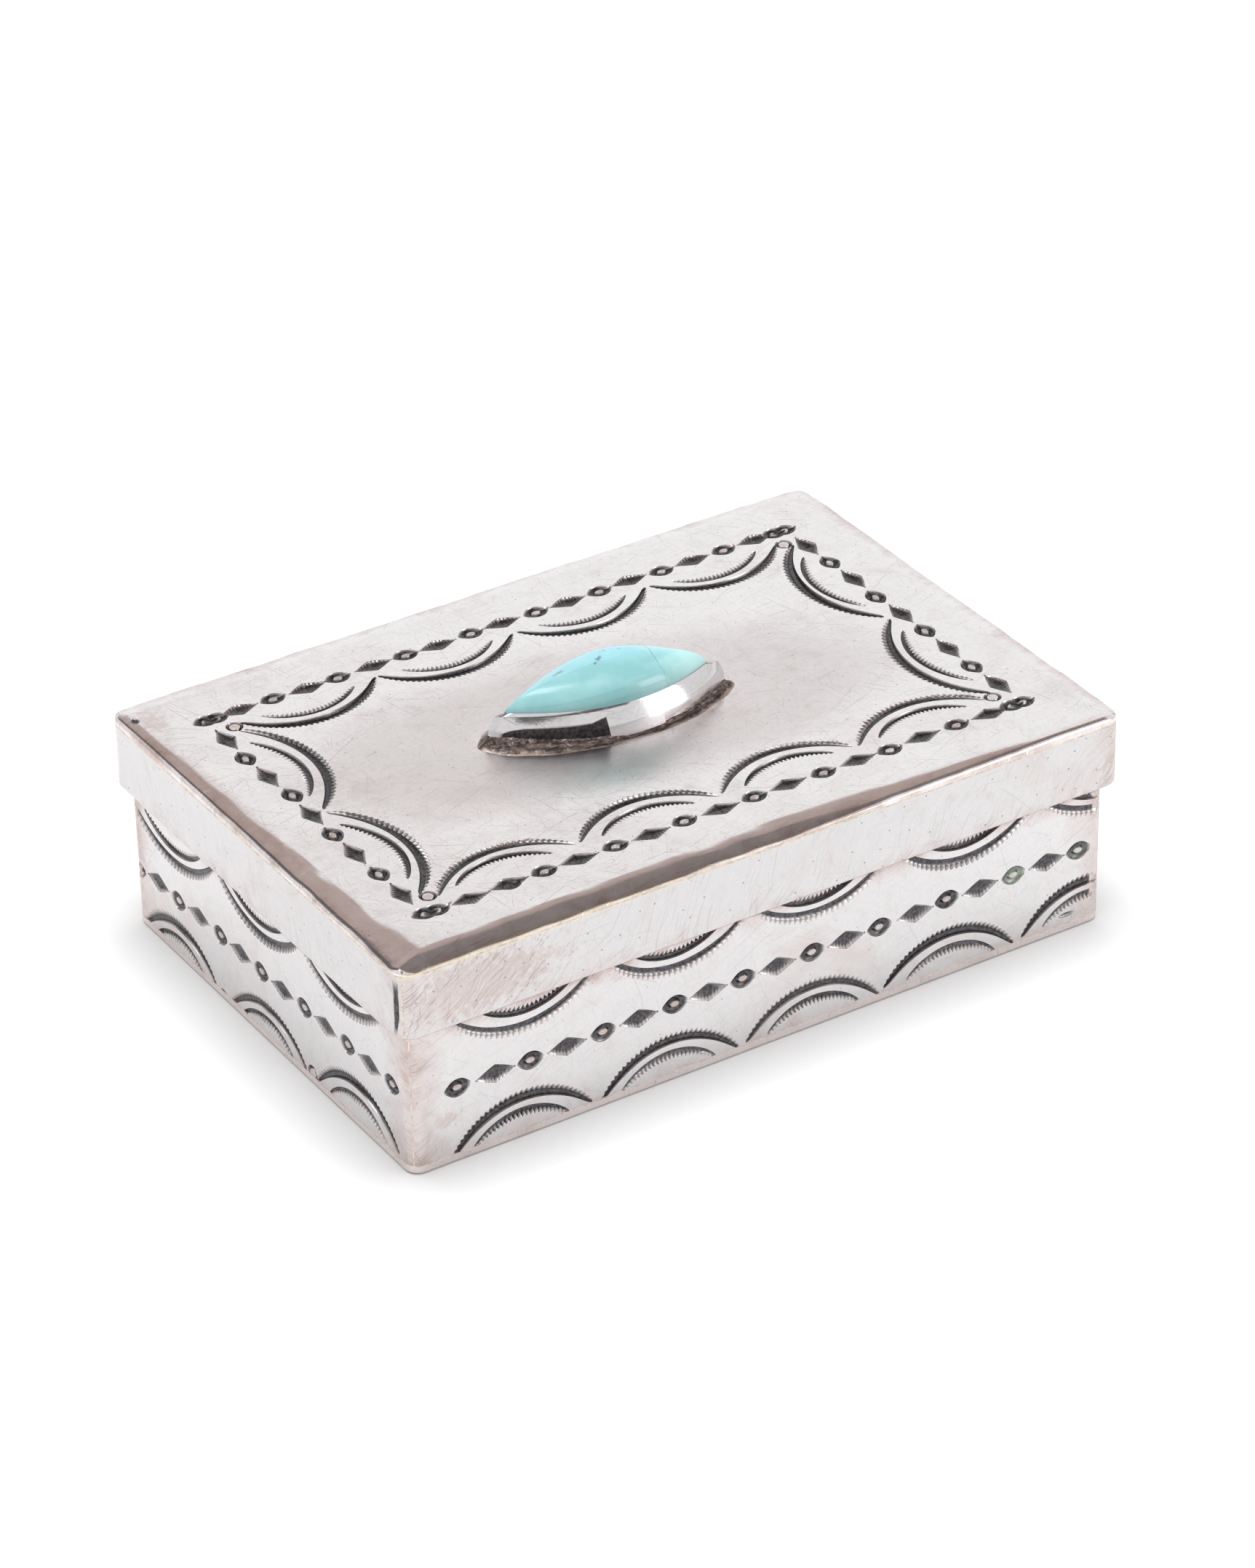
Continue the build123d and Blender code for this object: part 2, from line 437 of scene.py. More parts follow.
def darken(sheet: Piece, middle: Vector, size: Vector, note: float = 0.3) -> None:
    """Note a gouge as sunk, so that it is as dark as the struck marks.

    Args:
        sheet: The gouged sheet.
        middle: The middle of the gouge.
        size: Half its size along each axis.
        note: The depth to note, in millimetres.
    """
    layer = sheet.data.attributes["sunk"].data
    for vertex in sheet.data.vertices:
        away = vertex.co - middle
        if math.hypot(away.x / size.x, away.y / size.y, away.z / size.z) < 1.05:
            layer[vertex.index].value = note


def dress(piece: Piece, material: Material) -> None:
    """Give a piece its one material."""
    piece.data.materials.clear()
    piece.data.materials.append(material)


def turned(x: float, y: float, degrees: float) -> tuple[float, float]:
    """A point of the plane turned about its middle."""
    angle = math.radians(degrees)
    return x * math.cos(angle) - y * math.sin(angle), x * math.sin(angle) + y * math.cos(angle)


# Punches: each is the solid that one blow of the hammer drives out of the sheet


class Mark(Enum):
    """The maker's five punches."""

    OUTER_BAND = "outer band"
    INNER_BAND = "inner band"
    DIAMOND = "diamond"
    RING = "ring"
    CIRCLE = "circle"


@dataclass(frozen=True)
class Row:
    """One line along a toothed band: where it runs and how deep, in a groove and on a tooth.

    All four are shares, of the band's breadth from its outer edge and of its depth. A depth under
    nothing lies above the sheet.
    """

    across: float
    down: float
    tooth_across: float
    tooth_down: float


class BandCut(Enum):
    """The two ways that a band punch is filed."""

    MILLED_RIM = (
        Row(-0.04, -0.4, 0.15, -0.4),
        Row(0.0, 0.2, 0.18, 0.02),
        Row(0.2, 0.46, 0.27, 0.12),
        Row(0.42, 0.74, 0.42, 0.42),
        Row(0.54, 1.0, 0.54, 1.0),
        Row(0.86, 1.0, 0.86, 1.0),
        Row(0.97, 0.15, 0.97, 0.15),
        Row(1.0, -0.4, 1.0, -0.4),
    )
    SAW_RIM = (
        Row(0.0, -0.4, 0.0, -0.4),
        Row(0.03, 0.2, 0.03, 0.2),
        Row(0.15, 1.0, 0.15, 1.0),
        Row(0.42, 1.0, 0.40, 0.95),
        Row(0.62, 0.8, 0.52, 0.35),
        Row(0.84, 0.45, 0.57, 0.1),
        Row(0.96, 0.1, 0.6, 0.02),
        Row(1.0, -0.4, 0.62, -0.4),
    )


def cap(piece: Piece, lift: float) -> Piece:
    """Close a struck face into a solid with a flat top above the sheet.

    Args:
        piece: The open face.
        lift: The height of the face's edge over the sheet.

    Returns:
        The same piece, closed.
    """
    edit(piece)
    bpy.ops.mesh.select_all(action="SELECT")
    bpy.ops.mesh.extrude_region_move(TRANSFORM_OT_translate={"value": (0, 0, 4 * lift)})
    bpy.ops.transform.resize(value=(1, 1, 0), center_override=(0, 0, 3 * lift))
    close_edit()
    tidy_mesh(piece)
    return piece


@dataclass(frozen=True)
class BandPunch:
    """A curved band that is struck in one blow, toothed along one of its edges.

    The band bulges towards +Y, and its arc is centred below the line that its mark is placed by.
    """

    mark: Mark
    radius: float
    centre: float
    half_angle: float
    breadth: float
    depth: float
    teeth: int
    cut: BandCut
    lift: float = 0.12 * MM
    tip_share: float = 0.16
    tip_depth_share: float = 0.4
    tip_shift_share: float = 0.3
    swell_power: float = 0.55

    def make(self) -> Piece:
        """Model the punch.

        Returns:
            A closed solid whose struck face looks down.
        """
        piece = grid(self.mark.value, 2 * self.teeth, len(self.cut.value) - 1)
        reshape(piece, self.place)
        return cap(piece, self.lift)

    def place(self, old: Vector) -> Vector:
        """Where a point of the unit grid lies on the struck face.

        Args:
            old: The point of the grid.

        Returns:
            Its place on the punch.
        """
        rows = self.cut.value
        row = rows[round((old.y + 0.5) * (len(rows) - 1))]
        in_groove = round((old.x + 0.5) * 2 * self.teeth) % 2
        angle = 2 * old.x * self.half_angle
        swell = max(0.0, 1 - (2 * old.x) ** 2) ** self.swell_power
        size = self.tip_share + (1 - self.tip_share) * swell
        across, down = (row.across, row.down) if in_groove else (row.tooth_across, row.tooth_down)
        out = self.radius - (across * size + self.tip_shift_share * (1 - size)) * self.breadth
        deep = self.depth * (self.tip_depth_share + (1 - self.tip_depth_share) * size)
        height = -down * deep if down > 0 else self.lift
        return Vector((out * math.sin(angle), out * math.cos(angle) + self.centre, height))


@dataclass(frozen=True)
class Scallop:
    """The arc of a border: a milled band, a bright ridge left standing, and a saw-toothed band."""

    chord: float = 18.9 * MM
    rise: float = 5.0 * MM
    band: float = 1.6 * MM
    ridge: float = 0.68 * MM
    inner_band: float = 1.35 * MM
    inner_reach_share: float = 0.8
    inner_depth_share: float = 0.85
    depth: float = 0.34 * MM
    outer_teeth: int = 32
    inner_teeth: int = 24

    def punches(self) -> list[BandPunch]:
        """The two punches, whose arcs have one centre.

        Returns:
            The outer and the inner band's punch.
        """
        radius = (self.chord ** 2 / 4 + self.rise ** 2) / (2 * self.rise)
        centre = self.rise - radius
        angle = math.asin(self.chord / 2 / radius)
        inner_radius = radius - self.band - self.ridge
        inner_angle = angle * self.inner_reach_share
        inner_depth = self.depth * self.inner_depth_share
        outer = BandPunch(
            Mark.OUTER_BAND, radius, centre, angle, self.band, self.depth,
            self.outer_teeth, BandCut.MILLED_RIM
        )
        inner = BandPunch(
            Mark.INNER_BAND, inner_radius, centre, inner_angle, self.inner_band, inner_depth,
            self.inner_teeth, BandCut.SAW_RIM
        )
        return [outer, inner]


@dataclass(frozen=True)
class DiamondPunch:
    """A lozenge with a flat floor and a hatched lower wall, long way along X."""

    mark: Mark
    length: float
    breadth: float
    depth: float
    teeth: int
    lift: float = 0.12 * MM
    rows: tuple = (
        (-1.0, -0.5), (-0.96, 0.2), (-0.45, 0.85), (0.1, 1.0), (0.6, 0.9), (0.96, 0.12), (1.0, -0.5)
    )
    hatches: tuple = (0.0, 0.5, 0.22, 0.0, 0.0, 0.0, 0.0)
    side_power: float = 1.15
    tip_share: float = 0.05
    tip_depth_share: float = 0.35

    def make(self) -> Piece:
        """Model the punch.

        Returns:
            A closed solid whose struck face looks down.
        """
        piece = grid(self.mark.value, 2 * self.teeth, len(self.rows) - 1)
        reshape(piece, self.place)
        return cap(piece, self.lift)

    def place(self, old: Vector) -> Vector:
        """Where a point of the unit grid lies on the struck face.

        Args:
            old: The point of the grid.

        Returns:
            Its place on the punch.
        """
        row = round((old.y + 0.5) * (len(self.rows) - 1))
        across, down = self.rows[row]
        tooth = 1 if round((old.x + 0.5) * 2 * self.teeth) % 2 else -1
        widest = self.breadth / 2
        half = max(self.tip_share * self.breadth, widest * (1 - abs(2 * old.x) ** self.side_power))
        deep = self.depth * (self.tip_depth_share + (1 - self.tip_depth_share) * half / widest)
        height = -down * deep * (1 - self.hatches[row] * tooth) if down > 0 else self.lift
        return Vector((old.x * self.length, across * half, height))


@dataclass(frozen=True)
class RingPunch:
    """An oval trough round a standing dot, with a small cusp at each end along X."""

    mark: Mark
    length: float
    breadth: float
    depth: float
    dot: float
    dot_depth: float
    cusp: float
    lift: float = 0.12 * MM
    facets: int = 28
    cusp_power: int = 9

    def make(self) -> Piece:
        """Model the punch.

        Returns:
            A closed solid whose struck face looks down.
        """
        deselect_all()
        bpy.ops.mesh.primitive_circle_add(vertices=self.facets, radius=0.5, fill_type="NGON")
        piece = bpy.context.active_object
        piece.name = self.mark.value
        piece.scale = (self.length, self.breadth, 1)
        piece.location.z = 3 * self.lift
        settle(piece)
        edit(piece)
        bpy.ops.mesh.select_all(action="SELECT")
        bpy.ops.mesh.extrude_region_move(TRANSFORM_OT_translate={"value": (0, 0, -2 * self.lift)})
        wall = (self.length / 2 - self.dot / 2) / 4
        rise = self.depth - self.dot_depth
        self.step(wall * 0.35, self.lift + self.depth * 0.3)
        self.step(wall * 1.2, self.depth * 0.6)
        self.step(wall * 1.1, self.depth * 0.1)
        self.step(wall * 0.8, -rise * 0.55)
        self.step(wall * 0.35, -rise * 0.45)
        close_edit()
        tidy_mesh(piece)
        reshape(piece, self.draw_out)
        return piece

    def draw_out(self, old: Vector) -> Vector:
        """Draw the punch's ends out into cusps, less so at its floor.

        Args:
            old: A point of the oval punch.

        Returns:
            Its new place.
        """
        share = min(1.0, abs(old.x) / (self.length / 2))
        upper = clamp(1 + old.z / self.depth)
        drawn = math.copysign(self.cusp * upper * share ** self.cusp_power, old.x)
        return Vector((old.x + drawn, old.y, old.z))

    @staticmethod
    def step(inwards: float, down: float) -> None:
        """Inset the chosen face and sink it, or raise it where down is negative."""
        bpy.ops.mesh.inset(thickness=inwards, depth=0)
        bpy.ops.transform.translate(value=(0, 0, -down))


Punch = BandPunch | DiamondPunch | RingPunch
SCALLOP = Scallop()
PUNCHES = (
    *SCALLOP.punches(),
    DiamondPunch(Mark.DIAMOND, length=5.1 * MM, breadth=2.5 * MM, depth=0.31 * MM, teeth=12),
    RingPunch(
        Mark.RING, length=2.85 * MM, breadth=2.45 * MM, depth=0.38 * MM, dot=1.0 * MM, dot_depth=0.06 * MM,
        cusp=0.5 * MM
    ),
    RingPunch(
        Mark.CIRCLE, length=2.1 * MM, breadth=2.1 * MM, depth=0.28 * MM, dot=1.2 * MM, dot_depth=0.03 * MM,
        cusp=0.0
    ),
)


@dataclass
class Blow:
    """One mark on a sheet: which punch, where its middle lies on the sheet, and its turn."""

    mark: Mark
    x: float
    y: float
    turn: float = 0.0
    pass_number: int = 0
    stretch: float = 1.0


def scallop(x: float, y: float, turn: float, pass_number: int = 0, stretch: float = 1.0) -> list[Blow]:
    """The two bands of one scallop."""
    return [Blow(mark, x, y, turn, pass_number, stretch) for mark in (Mark.OUTER_BAND, Mark.INNER_BAND)]


class PunchRoll:
    """The maker's roll of punches, and the hand that strikes them."""

    def __init__(self, punches: tuple[Punch, ...], seed: int) -> None:
        """Model every punch once, and start the hand from a seed."""
        self.hand = random.Random(seed)
        self.tools = {punch.mark: punch.make() for punch in punches}

    def strike(self, sheet: Piece, blows: list[Blow], onto: Matrix) -> None:
        """Strike a pattern into a sheet, one pass for each set of marks that overlap nothing.

        Args:
            sheet: The sheet, a closed solid.
            blows: The marks, in the plane of the sheet.
            onto: Takes that plane, with Z outwards, onto the sheet's face.
        """
        for number in sorted({blow.pass_number for blow in blows}):
            marks = [self.one_mark(blow, onto) for blow in blows if blow.pass_number == number]
            cut_out(sheet, join(marks, "cutter"))

    def one_mark(self, blow: Blow, onto: Matrix) -> Piece:
        """A copy of a punch where a blow puts it, a little off as by hand.

        Args:
            blow: The blow.
            onto: Takes the sheet's plane onto its face.

        Returns:
            The solid that the blow drives out.
        """
        mark = copy_of(self.tools[blow.mark], "mark")
        hand = self.hand
        shift = Vector((hand.gauss(0, 0.09) * MM, hand.gauss(0, 0.07) * MM, 0))
        deeper = Matrix.Diagonal((blow.stretch, 1, 1 + hand.uniform(-0.12, 0.14), 1))
        tilt = Matrix.Rotation(math.radians(hand.gauss(0, 0.5)), 4, "X")
        turn = Matrix.Rotation(math.radians(blow.turn + hand.gauss(0, 1.3)), 4, "Z")
        middle = Matrix.Translation(Vector((blow.x, blow.y, 0)) + shift)
        mark.data.transform(onto @ middle @ turn @ tilt @ deeper)
        return mark

    def put_away(self) -> None:
        """Clear the punches from the bench."""
        for tool in self.tools.values():
            put_away(tool)


# Finishes


@dataclass(frozen=True)
class Stroke:
    """One lie of hairlines: its turn in degrees, their length and width in millimetres, and their share."""

    turn: float
    length: float
    width: float
    share: float


@dataclass(frozen=True)
class Smudge:
    """One stained patch: its middle and half sizes in millimetres, and its strength."""

    x: float
    y: float
    long: float
    tall: float
    share: float


class NodeTable:
    """Adds and links the nodes of one material."""

    def __init__(self, name: str) -> None:
        """Start an empty material.

        Args:
            name: The material's name.
        """
        self.material = bpy.data.materials.new(name)
        self.material.use_nodes = True
        self.tree = self.material.node_tree
        self.tree.nodes.clear()
        self.places = self.add("ShaderNodeTexCoord").outputs["Object"]

    def add(self, kind: str, inputs: dict | None = None, **settings: object) -> bpy.types.Node:
        """Add a node.

        Args:
            kind: The node's type.
            inputs: Its inputs, as values or as sockets to link.
            settings: Its other settings.

        Returns:
            The node.
        """
        node = self.tree.nodes.new(kind)
        for key, value in settings.items():
            setattr(node, key, value)
        for key, value in (inputs or {}).items():
            if isinstance(value, Socket):
                self.tree.links.new(value, node.inputs[key])
            else:
                node.inputs[key].default_value = value
        return node

    def math(self, operation: str, first: Value, second: Value = 0.0) -> Socket:
        """One sum on numbers."""
        return self.add("ShaderNodeMath", {0: first, 1: second}, operation=operation).outputs[0]

    def plus(self, first: Value, second: Value) -> Socket:
        """Two numbers added."""
        return self.math("ADD", first, second)

    def minus(self, first: Value, second: Value) -> Socket:
        """One number less another."""
        return self.math("SUBTRACT", first, second)

    def times(self, first: Value, second: Value) -> Socket:
        """Two numbers multiplied."""
        return self.math("MULTIPLY", first, second)

    def most(self, first: Value, second: Value) -> Socket:
        """The larger of two numbers."""
        return self.math("MAXIMUM", first, second)

    def size(self, value: Value) -> Socket:
        """A number without its sign."""
        return self.math("ABSOLUTE", value)

    def vector(self, operation: str, first: Value, second: Value = (0, 0, 0)) -> bpy.types.NodeOutputs:
        """One sum on vectors, as a vector and a number."""
        return self.add("ShaderNodeVectorMath", {0: first, 1: second}, operation=operation).outputs

    def scaled(self, vector: Value, factor: float) -> Socket:
        """A vector times a number."""
        return self.add("ShaderNodeVectorMath", {0: vector, "Scale": factor}, operation="SCALE").outputs[0]

    def parts(self, vector: Value) -> bpy.types.NodeOutputs:
        """The three parts of a vector."""
        return self.add("ShaderNodeSeparateXYZ", {"Vector": vector}).outputs

    def joined(self, x: Value, y: Value) -> Socket:
        """A vector of two parts, with nothing in its third."""
        return self.add("ShaderNodeCombineXYZ", {"X": x, "Y": y}).outputs[0]

    def spread(
        self, value: Value, low: float, high: float, to_low: float = 0.0, to_high: float = 1.0
    ) -> Socket:
        """Map a value softly from one range to another."""
        inputs = {"Value": value, "From Min": low, "From Max": high, "To Min": to_low, "To Max": to_high}
        return self.add("ShaderNodeMapRange", inputs, interpolation_type="SMOOTHSTEP").outputs["Result"]

    def blend(self, share: Value, first: Value, second: Value) -> Socket:
        """Mix two colours by a share."""
        return self.add("ShaderNodeMix", {0: share, 6: first, 7: second}, data_type="RGBA").outputs[2]

    def cloud(self, place: Value, inputs: dict) -> bpy.types.NodeOutputs:
        """Noise at a place, as a number and a colour."""
        return self.add("ShaderNodeTexNoise", {"Vector": place, **inputs}).outputs

    def noise(self, size: float, detail: float = 3.0, rough: float = 0.55, warp: float = 0.0) -> Socket:
        """Cloudy noise whose clouds are about a size in metres."""
        inputs = {"Scale": 1 / size, "Detail": detail, "Roughness": rough, "Distortion": warp}
        return self.cloud(self.places, inputs)["Fac"]

    def attribute(self, name: str) -> Socket:
        """A number kept on the piece's vertices."""
        return self.add("ShaderNodeAttribute", attribute_name=name).outputs["Fac"]

    def flat(self, lay: Lay) -> Socket:
        """The place on a surface, in millimetres along its two axes."""
        parts = self.parts(self.places)
        return self.scaled(self.joined(parts[lay.value[0]], parts[lay.value[1]]), 1 / MM)

    def bent(self, flat: Socket) -> Socket:
        """The same place, bent a little so that no line drawn on it is quite straight."""
        bend = self.cloud(flat, {"Scale": 0.09, "Detail": 1.0})["Color"]
        return self.vector("ADD", flat, self.scaled(bend, 3.0))[0]

    def mapped(self, place: Value, middle: Value, turn: float, size: Value) -> Socket:
        """A place as measured from a middle, in a turned frame, in units of a size."""
        where = {"Vector": place, "Location": middle, "Rotation": (0, 0, turn), "Scale": size}
        return self.add("ShaderNodeMapping", where, vector_type="TEXTURE").outputs[0]

    def stretched(self, plane: Socket, turn: float, long: float, tall: float, seed: float) -> Socket:
        """A plane turned by degrees and measured in cells of a size in millimetres."""
        return self.mapped(plane, (seed, seed * 1.7, 0), math.radians(turn), (long, tall, 1))

    def cells(self, place: Socket) -> tuple[bpy.types.NodeOutputs, bpy.types.NodeOutputs]:
        """Scattered cells of the plane.

        Args:
            place: The place, in units of a cell.

        Returns:
            What is known of a place's cell, and three chance numbers for the cell.
        """
        cells = self.add("ShaderNodeTexVoronoi", {"Vector": place, "Scale": 1.0}, voronoi_dimensions="2D")
        drawn = self.add("ShaderNodeSeparateColor", {"Color": cells.outputs["Color"]})
        return cells.outputs, drawn.outputs

    def scratches(self, plane: Socket, stroke: Stroke, lie: float, seed: float) -> Socket:
        """Loose hairlines on a plane.

        Args:
            plane: The place on the surface, in millimetres.
            stroke: Their turn, size and share.
            lie: A further turn, in degrees.
            seed: Where on the pattern the plane begins.

        Returns:
            How strongly a place is scratched.
        """
        cell = self.stretched(plane, stroke.turn + lie, stroke.length, 12 * stroke.width, seed)
        cells, drawn = self.cells(cell)
        apart = self.parts(self.vector("SUBTRACT", cell, cells["Position"])[0])
        lean = self.times(apart[0], self.spread(drawn[1], 0.0, 1.0, -0.9, 0.9))
        across = self.size(self.plus(apart[1], lean))
        along = self.spread(self.size(apart[0]), 0.15, 0.5, 1.0, 0.0)
        line = self.times(self.spread(across, 0.008, 0.055, 1.0, 0.0), along)
        return self.times(line, self.spread(drawn[0], 1 - stroke.share, 1.0, 0.2, 1.0))

    def streaks(self, plane: Socket, turn: float, length: float, width: float, seed: float) -> Socket:
        """The even grain that a file or a polishing stick leaves, one way along a plane."""
        cell = self.stretched(plane, turn, length, width, seed)
        return self.cloud(cell, {"Scale": 1.0, "Detail": 3.0})["Fac"]

    def pits(self, plane: Socket, pitch: float, size: float, share: float, seed: float) -> Socket:
        """Small round pits.

        Args:
            plane: The place on the surface, in millimetres.
            pitch: The mean gap between two places for a pit, in millimetres.
            size: The pits' size, in millimetres.
            share: The share of those places that have one.
            seed: Where on the pattern the plane begins.

        Returns:
            How much of a pit is at a place.
        """
        cells, drawn = self.cells(self.stretched(plane, 20.0, pitch, pitch, seed))
        dot = self.spread(cells["Distance"], 0.3 * size / pitch, 0.6 * size / pitch, 1.0, 0.0)
        return self.times(dot, self.math("GREATER_THAN", drawn[0], 1 - share))

    def smudge(self, flat: Socket, patch: Smudge, share: float) -> Socket:
        """One soft ragged patch on a plane.

        Args:
            flat: The place on the surface, in millimetres.
            patch: The patch's place and size.
            share: Its strength at the middle.

        Returns:
            Its strength at a place.
        """
        around = self.mapped(flat, (patch.x, patch.y, 0), 0.0, (patch.long, patch.tall, 1))
        ragged = self.spread(self.noise(0.8 * MM, 4.0, 0.65), 0.2, 0.8, -0.45, 0.45)
        return self.spread(self.plus(self.vector("LENGTH", around)["Value"], ragged), 0.4, 1.1, share, 0.0)

    def bump(self, height: Socket, strength: float, deep: float, **under: Socket) -> Socket:
        """A normal that is tilted by a height map, over another one given as Normal."""
        inputs = {"Height": height, "Strength": strength, "Distance": deep, **under}
        return self.add("ShaderNodeBump", inputs).outputs[0]

    def surface(self, inputs: dict) -> Material:
        """End the material with one principled surface.

        Args:
            inputs: The surface's sockets, as values or links.

        Returns:
            The material.
        """
        shader = self.add("ShaderNodeBsdfPrincipled", inputs)
        self.add("ShaderNodeOutputMaterial", {"Surface": shader.outputs[0]})
        return self.material


@dataclass(frozen=True)
class Halo:
    """The stained oval on the lid round the setting, in metres."""

    middle: Vector
    turn: float
    long: float
    wide: float


@dataclass(frozen=True)
class SilverFinish:
    """Worn silver: hairlines, handling marks, fire stain, and black in the struck marks."""

    name: str
    lay: Lay
    # This darker default is the walls' tone: painted shade, set lower than the lid top's to match the light
    # on the walls.
    tone: tuple = (0.73, 0.711, 0.717, 1)
    # Blush and stain tones: real stains, and on the walls also painted shade under the lid's foot.
    blush: tuple = (0.62, 0.525, 0.50, 1)
    stain: tuple = (0.42, 0.31, 0.27, 1)
    cloudy: tuple = (0.5, 0.46, 0.46, 1)
    grained: tuple = (0.4, 0.36, 0.36, 1)
    rubbing: tuple = (0.3, 0.25, 0.24, 1)
    hairline: tuple = (0.2, 0.17, 0.17, 1)
    glint: tuple = (0.97, 0.96, 0.96, 1)
    pit: tuple = (0.15, 0.12, 0.11, 1)
    lip: tuple = (0.60, 0.44, 0.37, 1)
    grey: tuple = (0.36, 0.345, 0.35, 1)
    black: tuple = (0.06, 0.056, 0.06, 1)
    charcoal: tuple = (0.13, 0.125, 0.13, 1)
    green: tuple = (0.42, 0.50, 0.40, 1)
    gold: tuple = (0.78, 0.68, 0.54, 1)
    blush_share: float = 0.6
    polish: float = 0.15
    pit_share: float = 0.3
    pit_size: float = 0.17
    filed: float = 0.3
    filed_turn: float = 27.0
    stamped: bool = False
    halo: Halo | None = None
    smudges: tuple[Smudge, ...] = ()
    filled: tuple[Smudge, ...] = ()
    seed: float = 0.0
    strokes: tuple[Stroke, ...] = (
        Stroke(24, 13.0, 0.09, 0.12),
        Stroke(-38, 6.5, 0.07, 0.22),
        Stroke(66, 3.6, 0.06, 0.2),
        Stroke(-74, 9.0, 0.08, 0.12),
        Stroke(112, 2.6, 0.05, 0.2),
        Stroke(8, 5.0, 0.06, 0.25),
    )
    glint_stroke: Stroke = Stroke(33, 2.6, 0.07, 0.4)

    def build(self) -> Material:
        """Make the material."""
        return SilverWork(self).build()


